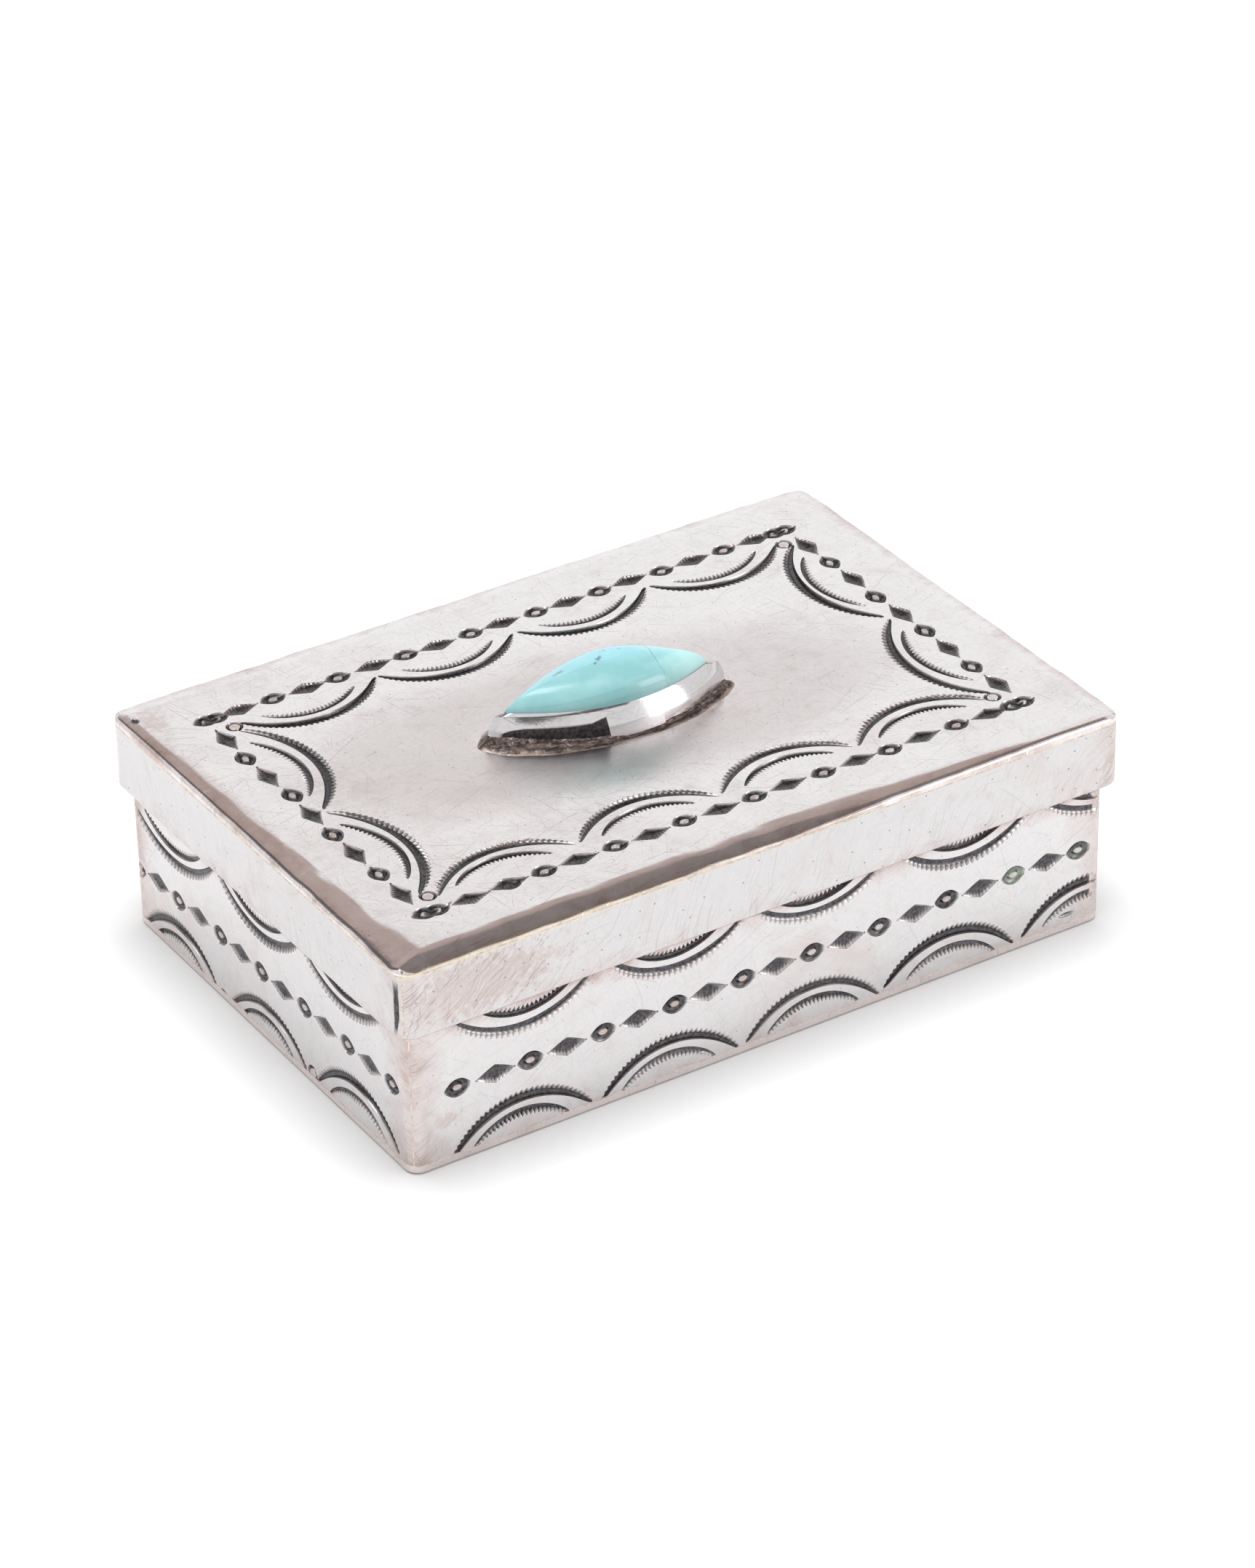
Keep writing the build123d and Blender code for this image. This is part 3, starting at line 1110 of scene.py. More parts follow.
class SilverWork:
    """A silver finish at work: its nodes, and the patterns that its colour and relief are mixed from."""

    def __init__(self, finish: SilverFinish) -> None:
        """Lay out the patterns of a finish.

        Args:
            finish: The finish.
        """
        table = NodeTable(finish.name)
        seed = finish.seed
        self.finish, self.table, self.flat = finish, table, table.flat(finish.lay)
        plane = table.bent(self.flat)
        self.hairs = None
        for place, stroke in enumerate(finish.strokes):
            more = table.scratches(plane, stroke, seed * 5, 3.1 + 6 * place + seed)
            self.hairs = table.most(self.hairs, more) if self.hairs else more
        self.glints = table.scratches(plane, finish.glint_stroke, seed * 3, 40.0 + seed)
        filing = table.spread(table.streaks(plane, finish.filed_turn, 5.0, 0.16, 9 + seed), 0.52, 0.72)
        self.pits = table.pits(plane, 2.6, finish.pit_size, finish.pit_share, 2.0 + seed)
        self.patches = table.noise(9 * MM, 4.0, 0.6)
        self.mottle = table.noise(2.2 * MM, 5.0, 0.6, warp=0.5)
        self.grain = table.noise(0.4 * MM, 3.0, 0.6)
        self.away = self.halo_gap() if finish.halo else None
        self.rim = self.stains()
        self.rubbed = table.times(filing, table.spread(self.rim, 0.0, 0.9, 0.06, finish.filed))

    def halo_gap(self) -> Socket:
        """How far a place lies from the setting, where 1 is the halo's outline.

        Returns:
            The distance.
        """
        halo = self.finish.halo
        flat = self.table.vector("MULTIPLY", self.table.places, (1, 1, 0))[0]
        middle = (halo.middle.x, halo.middle.y, 0)
        around = self.table.mapped(flat, middle, halo.turn, (halo.long, halo.wide, 1))
        return self.table.vector("LENGTH", around)["Value"]

    def stains(self) -> Socket:
        """How stained a place is: at the sheet's edges, round the setting and in the smudges, with the walls'
        painted shade under the lid's foot.

        Returns:
            The stain and painted shade, about 0 to 1.
        """
        table = self.table
        large = table.spread(self.patches, 0.2, 0.8, -0.3, 0.3)
        ragged = table.plus(large, table.spread(self.mottle, 0.2, 0.8, -0.2, 0.2))
        rim = table.plus(table.attribute("rim"), ragged)
        if self.away:
            near = table.spread(table.plus(self.away, table.times(self.mottle, 0.35)), 0.95, 1.4, 1.15, -0.35)
            rim = table.most(rim, near)
        for patch in self.finish.smudges:
            rim = table.most(rim, table.smudge(self.flat, patch, patch.share * 1.4))
        return rim

    def bare(self) -> Socket:
        """The colour of the metal with its blush, stains, file marks, hairlines, glints and pits, and on the
        walls painted shade under the lid's foot.

        Returns:
            The colour.
        """
        table, finish, rim = self.table, self.finish, self.rim
        warm = table.spread(table.noise(12 * MM, 5.0, 0.65, warp=0.7), 0.5, 0.78, 0.0, finish.blush_share)
        # Where the rim number holds the walls' painted shade under the lid's foot, blush and stain paint that
        # shade.
        blushed = table.most(warm, table.spread(rim, 0.1, 1.0, 0.0, 0.85))
        worn_in = table.spread(rim, 0.0, 1.0, 0.34, 0.52)
        bright = table.spread(rim, 0.2, 0.9, 0.3, 0.65)
        colour = table.blend(blushed, finish.tone, finish.blush)
        for share, tone in (
            (table.spread(rim, 0.65, 1.2, 0.0, 0.7), finish.stain),
            (table.spread(self.mottle, 0.45, 0.75, 0.0, 0.12), finish.cloudy),
            (table.spread(self.grain, 0.5, 0.78, 0.0, 0.16), finish.grained),
            (table.attribute("gold"), finish.gold),
            (self.rubbed, finish.rubbing),
            (table.times(self.hairs, worn_in), finish.hairline),
            (table.times(self.glints, bright), finish.glint),
            (table.times(self.pits, 0.6), finish.pit),
        ):
            colour = table.blend(share, colour, tone)
        return colour

    def roughness(self) -> Socket:
        """How rough the metal is, more so where the setting is handled.

        Returns:
            The roughness.
        """
        table, polish = self.table, self.finish.polish
        rough = table.spread(self.patches, 0.3, 0.75, polish, polish + 0.05)
        rough = table.plus(rough, table.times(self.grain, 0.06))
        if self.away:
            far = table.spread(self.away, 1.5, 2.8, 0.17, 0.0)
            rough = table.plus(rough, table.times(table.spread(self.away, 0.9, 1.1), far))
        return rough

    def struck(self, colour: Socket, rough: Socket) -> tuple[Socket, Socket]:
        """The blackening that stays in the struck marks, with a red lip round them; on the bezel it also
        blackens the painted reflection band.

        Args:
            colour: The colour outside the marks.
            rough: The roughness outside the marks.

        Returns:
            The colour and the roughness.
        """
        table, finish = self.table, self.finish
        depth = table.attribute("sunk")
        uneven = table.plus(depth, table.times(table.noise(0.35 * MM), 0.08))
        dulled = table.spread(uneven, 0.06, 0.16)
        edge = table.times(table.spread(depth, 0.005, 0.04, 0.0, 0.8), table.spread(self.mottle, 0.35, 0.6))
        worn = table.blend(table.spread(self.grain, 0.35, 0.65), finish.black, finish.charcoal)
        colour = table.blend(edge, colour, finish.lip)
        colour = table.blend(dulled, colour, finish.grey)
        colour = table.blend(table.spread(uneven, 0.14, 0.27), colour, worn)
        for patch in finish.filled:
            fill = table.times(table.smudge(self.flat, patch, patch.share), dulled)
            colour = table.blend(fill, colour, finish.green)
        return colour, table.plus(rough, table.times(dulled, 0.1))

    def relief(self) -> Socket:
        """The fine relief: soft hand work under grain, scratches, pits and file marks.

        Returns:
            The normal.
        """
        table = self.table
        marks = table.times(table.most(self.hairs, self.glints), 0.6)
        height = table.minus(table.minus(table.times(self.grain, 0.3), marks), self.pits)
        height = table.minus(height, table.times(self.rubbed, 0.8))
        return table.bump(height, 0.3, 0.02 * MM, Normal=table.bump(self.mottle, 0.5, 0.02 * MM))

    def build(self) -> Material:
        """Mix the material from its patterns.

        Returns:
            The worn silver.
        """
        colour, rough = self.bare(), self.roughness()
        if self.finish.stamped:
            colour, rough = self.struck(colour, rough)
        return self.table.surface({
            "Base Color": colour,
            "Metallic": 1.0,
            "Roughness": rough,
            "Normal": self.relief(),
        })


@dataclass(frozen=True)
class SolderFinish:
    """Dull pitted solder, brown and grey, as it is left in a corner."""

    name: str
    light: tuple
    dark: tuple
    dark_edge: float = 0.5

    def build(self) -> Material:
        """Make the material.

        Returns:
            The solder.
        """
        table = NodeTable(self.name)
        cloud = table.noise(1.1 * MM, 5.0, 0.7, warp=0.8)
        speck = table.noise(0.28 * MM, 4.0, 0.7)
        mixed = table.plus(cloud, table.times(speck, 0.2))
        share = table.spread(mixed, self.dark_edge - 0.08, self.dark_edge + 0.22)
        return table.surface({
            "Base Color": table.blend(share, self.dark, self.light),
            "Metallic": 0.9,
            "Roughness": table.spread(cloud, 0.35, 0.65, 0.55, 0.32),
            "Normal": table.bump(speck, 0.7, 0.06 * MM),
        })


@dataclass(frozen=True)
class FootFinish:
    """The stained solder at the bezel's foot, which fades into the lid's silver."""

    name: str
    silver: tuple = (0.50, 0.41, 0.36, 1)
    dark: tuple = (0.055, 0.046, 0.043, 1)
    rust: tuple = (0.21, 0.155, 0.14, 1)
    bright: tuple = (0.66, 0.60, 0.56, 1)

    def build(self) -> Material:
        """Make the material.

        Returns:
            The stained solder.
        """
        table = NodeTable(self.name)
        cloud = table.noise(1.3 * MM, 5.0, 0.7, warp=0.6)
        speck = table.noise(0.3 * MM, 4.0, 0.7)
        lines = table.joined(
            table.times(table.attribute("round"), 44.0), table.times(table.attribute("away"), 2.4)
        )
        streak = {"Scale": 1.7, "Detail": 6.0, "Roughness": 0.75, "Distortion": 0.8}
        streak = table.cloud(lines, streak)["Fac"]
        away = table.plus(table.attribute("away"), table.spread(cloud, 0.2, 0.8, -0.25, 0.25))
        warm = table.times(table.spread(streak, 0.42, 0.58), table.spread(away, 0.45, 0.75, 1.0, 0.35))
        scraped = table.times(table.spread(streak, 0.55, 0.68), table.spread(away, 0.3, 0.6, 0.8, 0.2))
        colour = table.blend(warm, self.dark, self.rust)
        colour = table.blend(scraped, colour, self.bright)
        colour = table.blend(table.spread(away, 0.66, 1.0, 0.0, 0.9), colour, self.silver)
        return table.surface({
            "Base Color": colour,
            "Metallic": 0.95,
            "Roughness": table.spread(away, 0.2, 0.9, 0.42, 0.22),
            "Normal": table.bump(speck, 0.6, 0.05 * MM),
        })


@dataclass(frozen=True)
class Fleck:
    """One fleck of matrix in the stone: its place and size in millimetres, strength and colour."""

    along: float
    across: float
    size: float
    share: float
    tone: tuple


DARK_MATRIX = (0.05, 0.10, 0.11, 1)
BROWN_MATRIX = (0.30, 0.17, 0.11, 1)


@dataclass(frozen=True)
class TurquoiseFinish:
    """Polished turquoise that drifts from blue to green, with a little matrix and one crack."""

    name: str
    middle: Vector
    turn: float
    low: tuple = (0.20, 0.42, 0.43, 1)
    blue: tuple = (0.21, 0.49, 0.57, 1)
    pale: tuple = (0.40, 0.62, 0.60, 1)
    milk: tuple = (0.40, 0.60, 0.60, 1)
    crack_tone: tuple = (0.06, 0.12, 0.12, 1)
    crack_x: float = 5.33 * MM
    crack_bend: float = 0.038 / MM
    crack_width: float = 0.07 * MM
    flecks: tuple[Fleck, ...] = (
        Fleck(-0.9, 0.7, 0.55, 0.85, DARK_MATRIX),
        Fleck(-1.5, -0.2, 0.3, 0.7, DARK_MATRIX),
        Fleck(0.5, 1.9, 0.5, 0.7, BROWN_MATRIX),
        Fleck(2.4, 1.6, 0.28, 0.6, DARK_MATRIX),
        Fleck(-5.6, 0.9, 0.4, 0.6, DARK_MATRIX),
        Fleck(-6.3, 0.8, 0.3, 0.5, DARK_MATRIX),
        Fleck(-11.0, 0.6, 0.35, 0.5, BROWN_MATRIX),
    )

    def build(self) -> Material:
        """Make the material.

        Returns:
            The stone.
        """
        table = NodeTable(self.name)
        own = table.mapped(table.places, self.middle, self.turn, (1, 1, 1))
        parts = table.parts(own)
        along, across = parts["X"], parts["Y"]
        cloud = table.noise(5 * MM, 4.0, 0.6)
        drift = table.plus(across, table.times(along, 0.12))
        blue = table.spread(table.plus(drift, table.times(cloud, 4 * MM)), -0.5 * MM, 4.5 * MM)
        far = table.plus(along, table.times(cloud, 8 * MM))
        milky = table.spread(table.noise(2.6 * MM, 4.0, 0.6), 0.4, 0.75, 0.0, 0.25)
        colour = table.blend(blue, self.low, self.blue)
        colour = table.blend(table.spread(far, 7 * MM, 15 * MM, 0.0, 0.8), colour, self.pale)
        colour = table.blend(milky, colour, self.milk)
        colour = table.blend(self.crack(table, along, across), colour, self.crack_tone)
        for fleck in self.flecks:
            colour = table.blend(self.spot(table, own, fleck), colour, fleck.tone)
        return table.surface({
            "Base Color": colour,
            "Roughness": table.spread(cloud, 0.3, 0.7, 0.15, 0.2),
            "IOR": 1.61,
            "Subsurface Weight": 0.1,
            "Subsurface Radius": (0.6 * MM, 1.2 * MM, 1.2 * MM),
            "Subsurface Scale": 1.0,
            "Coat Weight": 0.3,
            "Coat Roughness": 0.08,
        })

    def crack(self, table: NodeTable, along: Socket, across: Socket) -> Socket:
        """The one crack, a shallow curve right across the stone.

        Args:
            table: The material's nodes.
            along: The place along the stone.
            across: The place across it.

        Returns:
            How much of the crack is at a place.
        """
        bent = table.times(table.times(across, across), self.crack_bend)
        wander = table.spread(table.noise(1.5 * MM, 3.0), 0.2, 0.8, -0.2 * MM, 0.2 * MM)
        line = table.minus(along, table.plus(table.plus(bent, wander), self.crack_x))
        faint = table.spread(table.noise(2.5 * MM, 2.0), 0.3, 0.65, 0.4, 0.95)
        return table.times(table.spread(table.size(line), 0.0, self.crack_width, 1.0, 0.0), faint)

    @staticmethod
    def spot(table: NodeTable, own: Socket, fleck: Fleck) -> Socket:
        """One ragged fleck of matrix.

        Args:
            table: The material's nodes.
            own: The place in the stone's own frame.
            fleck: The fleck.

        Returns:
            How much of the fleck is at a place.
        """
        size = fleck.size * MM
        flat = table.vector("MULTIPLY", own, (1, 1, 0))[0]
        gap = table.vector("DISTANCE", flat, (fleck.along * MM, fleck.across * MM, 0))["Value"]
        ragged = table.spread(table.noise(0.8 * MM, 2.0, 0.5), 0.25, 0.75, -size, size)
        return table.spread(table.plus(gap, ragged), 0.0, size, fleck.share, 0.0)


# Sheet work: four sides are cut from one tube


def edge_rise(edge: bmesh.types.BMEdge) -> float:
    """How much higher one end of an edge lies than its other."""
    return abs(edge.verts[0].co.z - edge.verts[1].co.z)


@dataclass(frozen=True)
class Shell:
    """A rectangular tube of sheet with rounded corners, from which four mitred sides are cut."""

    half_x: float
    half_y: float
    foot: float
    top: float
    corner_round: float
    sheet: float = 1.0 * MM
    seam: float = 0.16 * MM
    cut_pitch: float = 3.0 * MM
    deepest_note: float = 0.6

    def reach(self, side: Side) -> float:
        """Half the length of a side."""
        return self.half_x if side.along.x else self.half_y

    def outside(self, side: Side) -> float:
        """The distance of a side's outer face from the middle of the box."""
        return self.half_y if side.normal.y else self.half_x

    def from_end(self, place: Vector, side: Side) -> float:
        """How far a place on a side is from the side's nearer end."""
        return self.reach(side) - abs(place.dot(side.along))

    def onto(self, side: Side) -> Matrix:
        """Takes a pattern's plane onto a side's outer face, with its own Y up."""
        turn = column_matrix((side.along, Vector((0, 0, 1)), side.normal))
        return Matrix.Translation(side.normal * self.outside(side)) @ turn

    def tube(self, name: str) -> Piece:
        """Make the whole tube.

        Args:
            name: The piece's name.

        Returns:
            The tube.
        """
        low = Vector((-self.half_x, -self.half_y, self.foot))
        piece = block(name, low, Vector((self.half_x, self.half_y, self.top)))
        edit(piece)
        choose(piece, Element.EDGES, lambda edge: edge_rise(edge) > self.sheet)
        bpy.ops.mesh.bevel(offset=self.corner_round, segments=8)
        choose(piece, Element.FACES, lambda face: abs(face.normal.z) > 0.9)
        bpy.ops.mesh.inset(thickness=self.sheet)
        bpy.ops.mesh.bridge_edge_loops()
        close_edit()
        tidy_mesh(piece)
        return piece

    def cut_side(self, tube: Piece, side: Side, name: str) -> Piece:
        """Cut one side out of the tube at its two mitres, and cut it across so that it can be bent.

        Args:
            tube: The whole tube, which is kept.
            side: The side to keep.
            name: The new piece's name.

        Returns:
            The side.
        """
        piece = copy_of(tube, name)
        edit(piece)
        for end in (-1, 1):
            corner = side.along * (end * self.reach(side)) + side.normal * self.outside(side)
            outward = (side.along * end - side.normal).normalized()
            slice_at(corner - outward * (self.seam / 2), outward, keep_inner=True)
        close_edit()
        tidy_mesh(piece)
        lattice_cuts(piece, self.cut_pitch, side.lay.value)
        return piece

    def note_depth(self, piece: Piece, side: Side) -> None:
        """Note how deep a side is struck, and nothing where it turns away at its ends or behind its face.

        Args:
            piece: The struck side.
            side: Its side of the box.
        """
        outside = self.outside(side)
        flat_reach = self.reach(side) - self.corner_round
        note_sunk(piece, lambda place: outside - place.dot(side.normal))
        layer = piece.data.attributes["sunk"].data
        for vertex in piece.data.vertices:
            turned_away = abs(vertex.co.dot(side.along)) > flat_reach
            if turned_away or layer[vertex.index].value > self.deepest_note:
                layer[vertex.index].value = 0.0

    def hollow(self, piece: Piece, side: Side, deep: float, size: float, margin: float) -> None:
        """Press soft hollows into a side, none at its edges.

        Args:
            piece: The piece to press.
            side: Its side of the box.
            deep: The deepest hollow.
            size: The size of the hollows.
            margin: How far from an edge they reach their full depth.
        """

        def weight(place: Vector) -> float:
            """The share of the press at a place."""
            return clamp(min(place.z - self.foot, self.top - place.z, self.from_end(place, side)) / margin)

        inwards = -(side.normal.x + side.normal.y)
        push(piece, "X" if side.normal.x else "Y", inwards * deep, weight, size)


# The box


@dataclass(frozen=True)
class WallLayout:
    """Where one wall's marks and stains lie, in millimetres from its middle and from the table."""

    seed: int
    rings: int
    ring_pitch: float
    row_start: float
    row_height: float
    row_slope: float
    lower: tuple[float, ...]
    upper: tuple[float, ...]
    upper_stretch: float = 1.0
    junctions: tuple[float, ...] = ()
    smudges: tuple[Smudge, ...] = ()
    filled: tuple[Smudge, ...] = ()

    def row(self, x: float) -> float:
        """The height of the middle row at a place along the wall, both in metres."""
        return self.row_height * MM + self.row_slope * x

    def tilt(self) -> float:
        """The lean of the middle row, in degrees."""
        return math.degrees(math.atan(self.row_slope))


WALL_LAYOUTS = {
    Side.FRONT: WallLayout(
        seed=1, rings=10, ring_pitch=9.2, row_start=-40.0, row_height=9.9, row_slope=0.01,
        lower=(-32.3, -13.1, 6.0, 24.8, 43.6),
        upper=(-31.4, -11.8, 6.9, 26.9, 46.0),
        upper_stretch=1.05,
        smudges=(
            Smudge(-41.6, 6.0, 2.6, 1.2, 0.5),
            Smudge(-43.5, 2.5, 3.0, 2.4, 0.4),
            Smudge(44.0, 3.0, 3.5, 3.0, 0.5),
        ),
        filled=(Smudge(33.8, 10.2, 2.0, 2.0, 0.5), Smudge(42.8, 10.3, 2.0, 2.0, 0.15)),
    ),
    Side.BACK: WallLayout(
        seed=2, rings=10, ring_pitch=9.2, row_start=-41.6, row_height=9.9, row_slope=0.0,
        lower=(-30.2, -10.8, 8.4, 27.6),
        upper=(-32.4, -12.6, 6.6, 26.4),
    ),
    Side.LEFT: WallLayout(
        seed=3, rings=7, ring_pitch=9.57, row_start=-30.1, row_height=8.95, row_slope=0.045,
        lower=(-20.9, -0.3, 19.4),
        upper=(-20.8, -1.3, 17.4),
        upper_stretch=1.1,
        junctions=(-10.6, 9.6),
        smudges=(Smudge(28.0, 4.5, 4.0, 4.0, 0.45), Smudge(-28.0, 3.0, 3.0, 4.0, 0.5)),
    ),
    Side.RIGHT: WallLayout(
        seed=4, rings=7, ring_pitch=9.2, row_start=-27.6, row_height=9.5, row_slope=0.0,
        lower=(-20.2, -0.4, 19.6),
        upper=(-18.8, 0.4, 20.0),
        upper_stretch=1.04,
        junctions=(9.6,),
    ),
}


@dataclass(frozen=True)
class Walls:
    """The four stamped walls of the box, mitred and soldered at their corners."""

    roll: PunchRoll
    corner_round: float = 1.7 * MM
    lower_clear: float = 3.4 * MM
    upper_clear: float = 4.0 * MM
    lowest_base: float = 0.4 * MM

    def build(self) -> None:
        """Make the walls and dress them."""
        half_x, half_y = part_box("base_plate")[1][:2]
        foot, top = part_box("front_wall")[0][2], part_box("front_wall")[1][2]
        shell = Shell(half_x, half_y, foot, top, self.corner_round)
        tube = shell.tube("wall_ring")
        for side, layout in WALL_LAYOUTS.items():
            wall = shell.cut_side(tube, side, f"{side.label}_wall_struck")
            if side is Side.FRONT:
                dent(wall, Vector((41.1 * MM, -half_y, 2.3 * MM)), Vector((1.1, 0.2, 0.3)) * MM)
            self.roll.strike(wall, self.pattern(layout, shell.reach(side)), shell.onto(side))
            shell.note_depth(wall, side)
            shell.hollow(wall, side, deep=0.24 * MM, size=14 * MM, margin=5 * MM)
            # The rim number holds real stains, and under the lid's foot it holds painted shade.
            paint(wall, "rim", lambda place: self.handled(place, shell.from_end(place, side)))
            smooth(wall)
            silver = SilverFinish(
                f"{side.label} wall silver", side.lay, stamped=True, smudges=layout.smudges,
                filled=layout.filled, seed=layout.seed
            )
            dress(wall, silver.build())
            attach(wall, "box")
            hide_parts(f"{side.label}_wall")
            LOG.info("wall %s: %d faces", wall.name, len(wall.data.polygons))
        put_away(tube)

    @staticmethod
    def handled(place: Vector, from_end: float) -> float:
        """How stained a place on a wall is, most at the corners and the foot, with painted shade under the
        lid's foot.
        """
        # Painted shade: a darker, browner band on the wall just under the lid's foot, where the skirt shades
        # it.
        painted_shade_under_lid = 1.25 - abs(place.z - 18.2 * MM) / (1.7 * MM)
        return max(1 - from_end / (6 * MM), 0.75 - place.z / (4 * MM), painted_shade_under_lid, 0.0)

    def pattern(self, layout: WallLayout, reach: float) -> list[Blow]:
        """The marks of one wall, measured from its middle and from the table.

        Args:
            layout: Where they lie.
            reach: Half the wall's length.

        Returns:
            The marks.
        """
        pitch = layout.ring_pitch * MM
        start = layout.row_start * MM
        tilt = layout.tilt()
        blows = []
        for place in range(layout.rings):
            x = start + place * pitch
            blows.append(Blow(Mark.RING, x, layout.row(x), tilt))
        for place in range(-1 if start - pitch / 2 > 2 * MM - reach else 0, layout.rings):
            x = start + (place + 0.5) * pitch
            if abs(x) < reach - 1 * MM:
                blows.append(Blow(Mark.DIAMOND, x, layout.row(x), tilt))
        for place, spot in enumerate(layout.lower):
            x = spot * MM
            base = layout.row(x) - self.lower_clear - SCALLOP.rise
            blows += scallop(x, max(base, self.lowest_base), tilt, place % 2)
        for place, spot in enumerate(layout.upper):
            x = spot * MM
            crown = layout.row(x) + self.upper_clear + SCALLOP.rise
            blows += scallop(x, crown, 180 + tilt, place % 2, layout.upper_stretch)
        for spot in layout.junctions:
            x = spot * MM
            base = layout.row(x) - self.lower_clear - SCALLOP.rise
            blows.append(Blow(Mark.CIRCLE, x, base + 0.3 * MM, 0, 2))
        return blows


@dataclass(frozen=True)
class Base:
    """The base plate and the solder that shows round it and in the wall corners."""

    plate_tone: tuple = (0.8, 0.73, 0.71, 1)
    solder_light: tuple = (0.78, 0.68, 0.63, 1)
    solder_dark: tuple = (0.56, 0.46, 0.41, 1)

    def build(self) -> None:
        """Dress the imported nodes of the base."""
        silver = SilverFinish("base silver", Lay.FLAT, tone=self.plate_tone, seed=5).build()
        seam = SolderFinish("seam solder", light=self.solder_light, dark=self.solder_dark).build()
        dress(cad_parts["base_plate"], silver)
        dress(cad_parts["base_solder"], seam)
        dress(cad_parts["wall_corner_solder"], seam)
        LOG.info("base dressed")


# The lid


def gilt_share(place: Vector) -> float:
    """How golden the solder line under the lid's top is: most at its left end, and none at its right."""
    return 0.6 * clamp((14 * MM - place.x) / (40 * MM))


@dataclass(frozen=True)
class Shoulder:
    """One worn edge of the lid: its width in millimetres, and the share of it that falls steeply."""

    wide: float
    steep_share: float


SHOULDERS = {
    Side.FRONT: Shoulder(2.8, 0.72),
    Side.BACK: Shoulder(2.2, 0.3),
    Side.LEFT: Shoulder(3.4, 0.28),
    Side.RIGHT: Shoulder(2.2, 0.3),
}


@dataclass(frozen=True)
class LidTop:
    """The stamped top plate of the lid."""

    roll: PunchRoll
    halo: Halo
    low: Vector = field(default_factory=lambda: Vector(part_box("lid_top")[0]))
    high: Vector = field(default_factory=lambda: Vector(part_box("lid_top")[1]))
    corner_round: float = 2.2 * MM
    edge_round: float = 0.6 * MM
    cut_pitch: float = 1.5 * MM
    edge_pitch: float = 0.32
    unstruck: float = 0.7 * MM
    border_x: float = 39.4 * MM
    border_y: float = 24.1 * MM
    scallop_x: float = 37.3 * MM
    scallop_y: float = 21.3 * MM
    front_pitch: float = 9.1 * MM
    gentle: float = math.tan(math.radians(7.5))
    steep: float = math.tan(math.radians(10.0))
    corner_drop: float = 0.16 * MM
    # The lid top's tone and blush are lighter than the walls' and the skirt's: one silver in lit and shaded
    # copies, with the light painted into the tones.
    tone: tuple = (0.92, 0.898, 0.902, 1)
    blush: tuple = (0.72, 0.62, 0.6, 1)
    smudges: tuple[Smudge, ...] = (
        Smudge(-34.0, 6.0, 4.0, 2.5, 0.25),
        Smudge(-44.5, 27.0, 2.0, 3.5, 0.5),
        Smudge(-45.5, 8.0, 1.5, 22.0, 0.4),
    )

    def build(self) -> None:
        """Make the plate, strike it and dress it."""
        plate = self.blank()
        dent(plate, Vector((-46.0 * MM, 28.6 * MM, self.high.z)), Vector((0.5, 0.7, 0.22)) * MM)
        self.roll.strike(plate, self.pattern(), Matrix.Translation((0, 0, self.high.z)))
        note_sunk(plate, self.depth)
        self.bend(plate)
        smooth(plate)
        silver = SilverFinish(
            "lid top silver", Lay.FLAT, tone=self.tone, blush=self.blush, polish=0.13, blush_share=0.3,
            filed_turn=4.0, stamped=True, halo=self.halo, smudges=self.smudges
        )
        dress(plate, silver.build())
        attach(plate, "lid")
        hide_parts("lid_top")
        LOG.info("lid top: %d faces", len(plate.data.polygons))

    def blank(self) -> Piece:
        """The plate before it is struck, cut across so that it can be bent.

        Returns:
            The plate.
        """
        plate = block("lid_top_struck", self.low, self.high)
        top = self.high.z - 0.01 * MM
        edit(plate)
        choose(plate, Element.EDGES, lambda edge: edge_rise(edge) > 0.5 * MM)
        bpy.ops.mesh.bevel(offset=self.corner_round, segments=8)
        choose(plate, Element.EDGES, lambda edge: min(edge.verts[0].co.z, edge.verts[1].co.z) > top)
        bpy.ops.mesh.bevel(offset=self.edge_round, segments=6)
        close_edit()
        lattice_cuts(plate, self.cut_pitch, Lay.FLAT.value)
        edit(plate)
        for cut in range(2, 15):
            for normal in (axis_vector(0), axis_vector(1)):
                for corner, sign in ((self.low, 1), (self.high, -1)):
                    slice_at(corner + normal * sign * cut * self.edge_pitch * MM, normal)
        close_edit()
        return plate

    def depth(self, place: Vector) -> float:
        """How deep a place on the struck face lies, and nothing at the plate's edges and underside."""
        inner = abs(place.x) < self.high.x - self.unstruck and abs(place.y) < self.high.y - self.unstruck
        return self.high.z - place.z if inner and place.z > self.low.z else 0

    def bend(self, plate: Piece) -> None:
        """Turn the plate's edges and corners down softly, and press faint hollows into its middle.

        Args:
            plate: The struck plate.
        """
        push(plate, "Z", -MM, self.shoulder)
        push(plate, "Z", -self.corner_drop, self.corner)
        push(plate, "Z", -0.1 * MM, self.middle, 17 * MM)
        paint(plate, "rim", lambda place: 0.8 - self.edge_gap(place) / (3.2 * MM))
        front = self.low.y + 0.7 * MM
        gilded = self.low.z + 0.5 * MM
        paint(plate, "gold", lambda place: gilt_share(place) * (place.y < front and place.z < gilded))

    def edge_gap(self, place: Vector) -> float:
        """How far a place is from the plate's nearest edge."""
        return min(self.high.x - abs(place.x), self.high.y - abs(place.y))

    def side_gap(self, place: Vector, side: Side) -> float:
        """How far a place is from one edge."""
        return (self.high.x if side.normal.x else self.high.y) - place.dot(side.normal)

    def lifted(self, place: Vector) -> float:
        """How high a place lies in the plate, from 0 at its underside to 1 at its face."""
        return clamp((place.z - self.low.z) / (self.high.z - self.low.z))

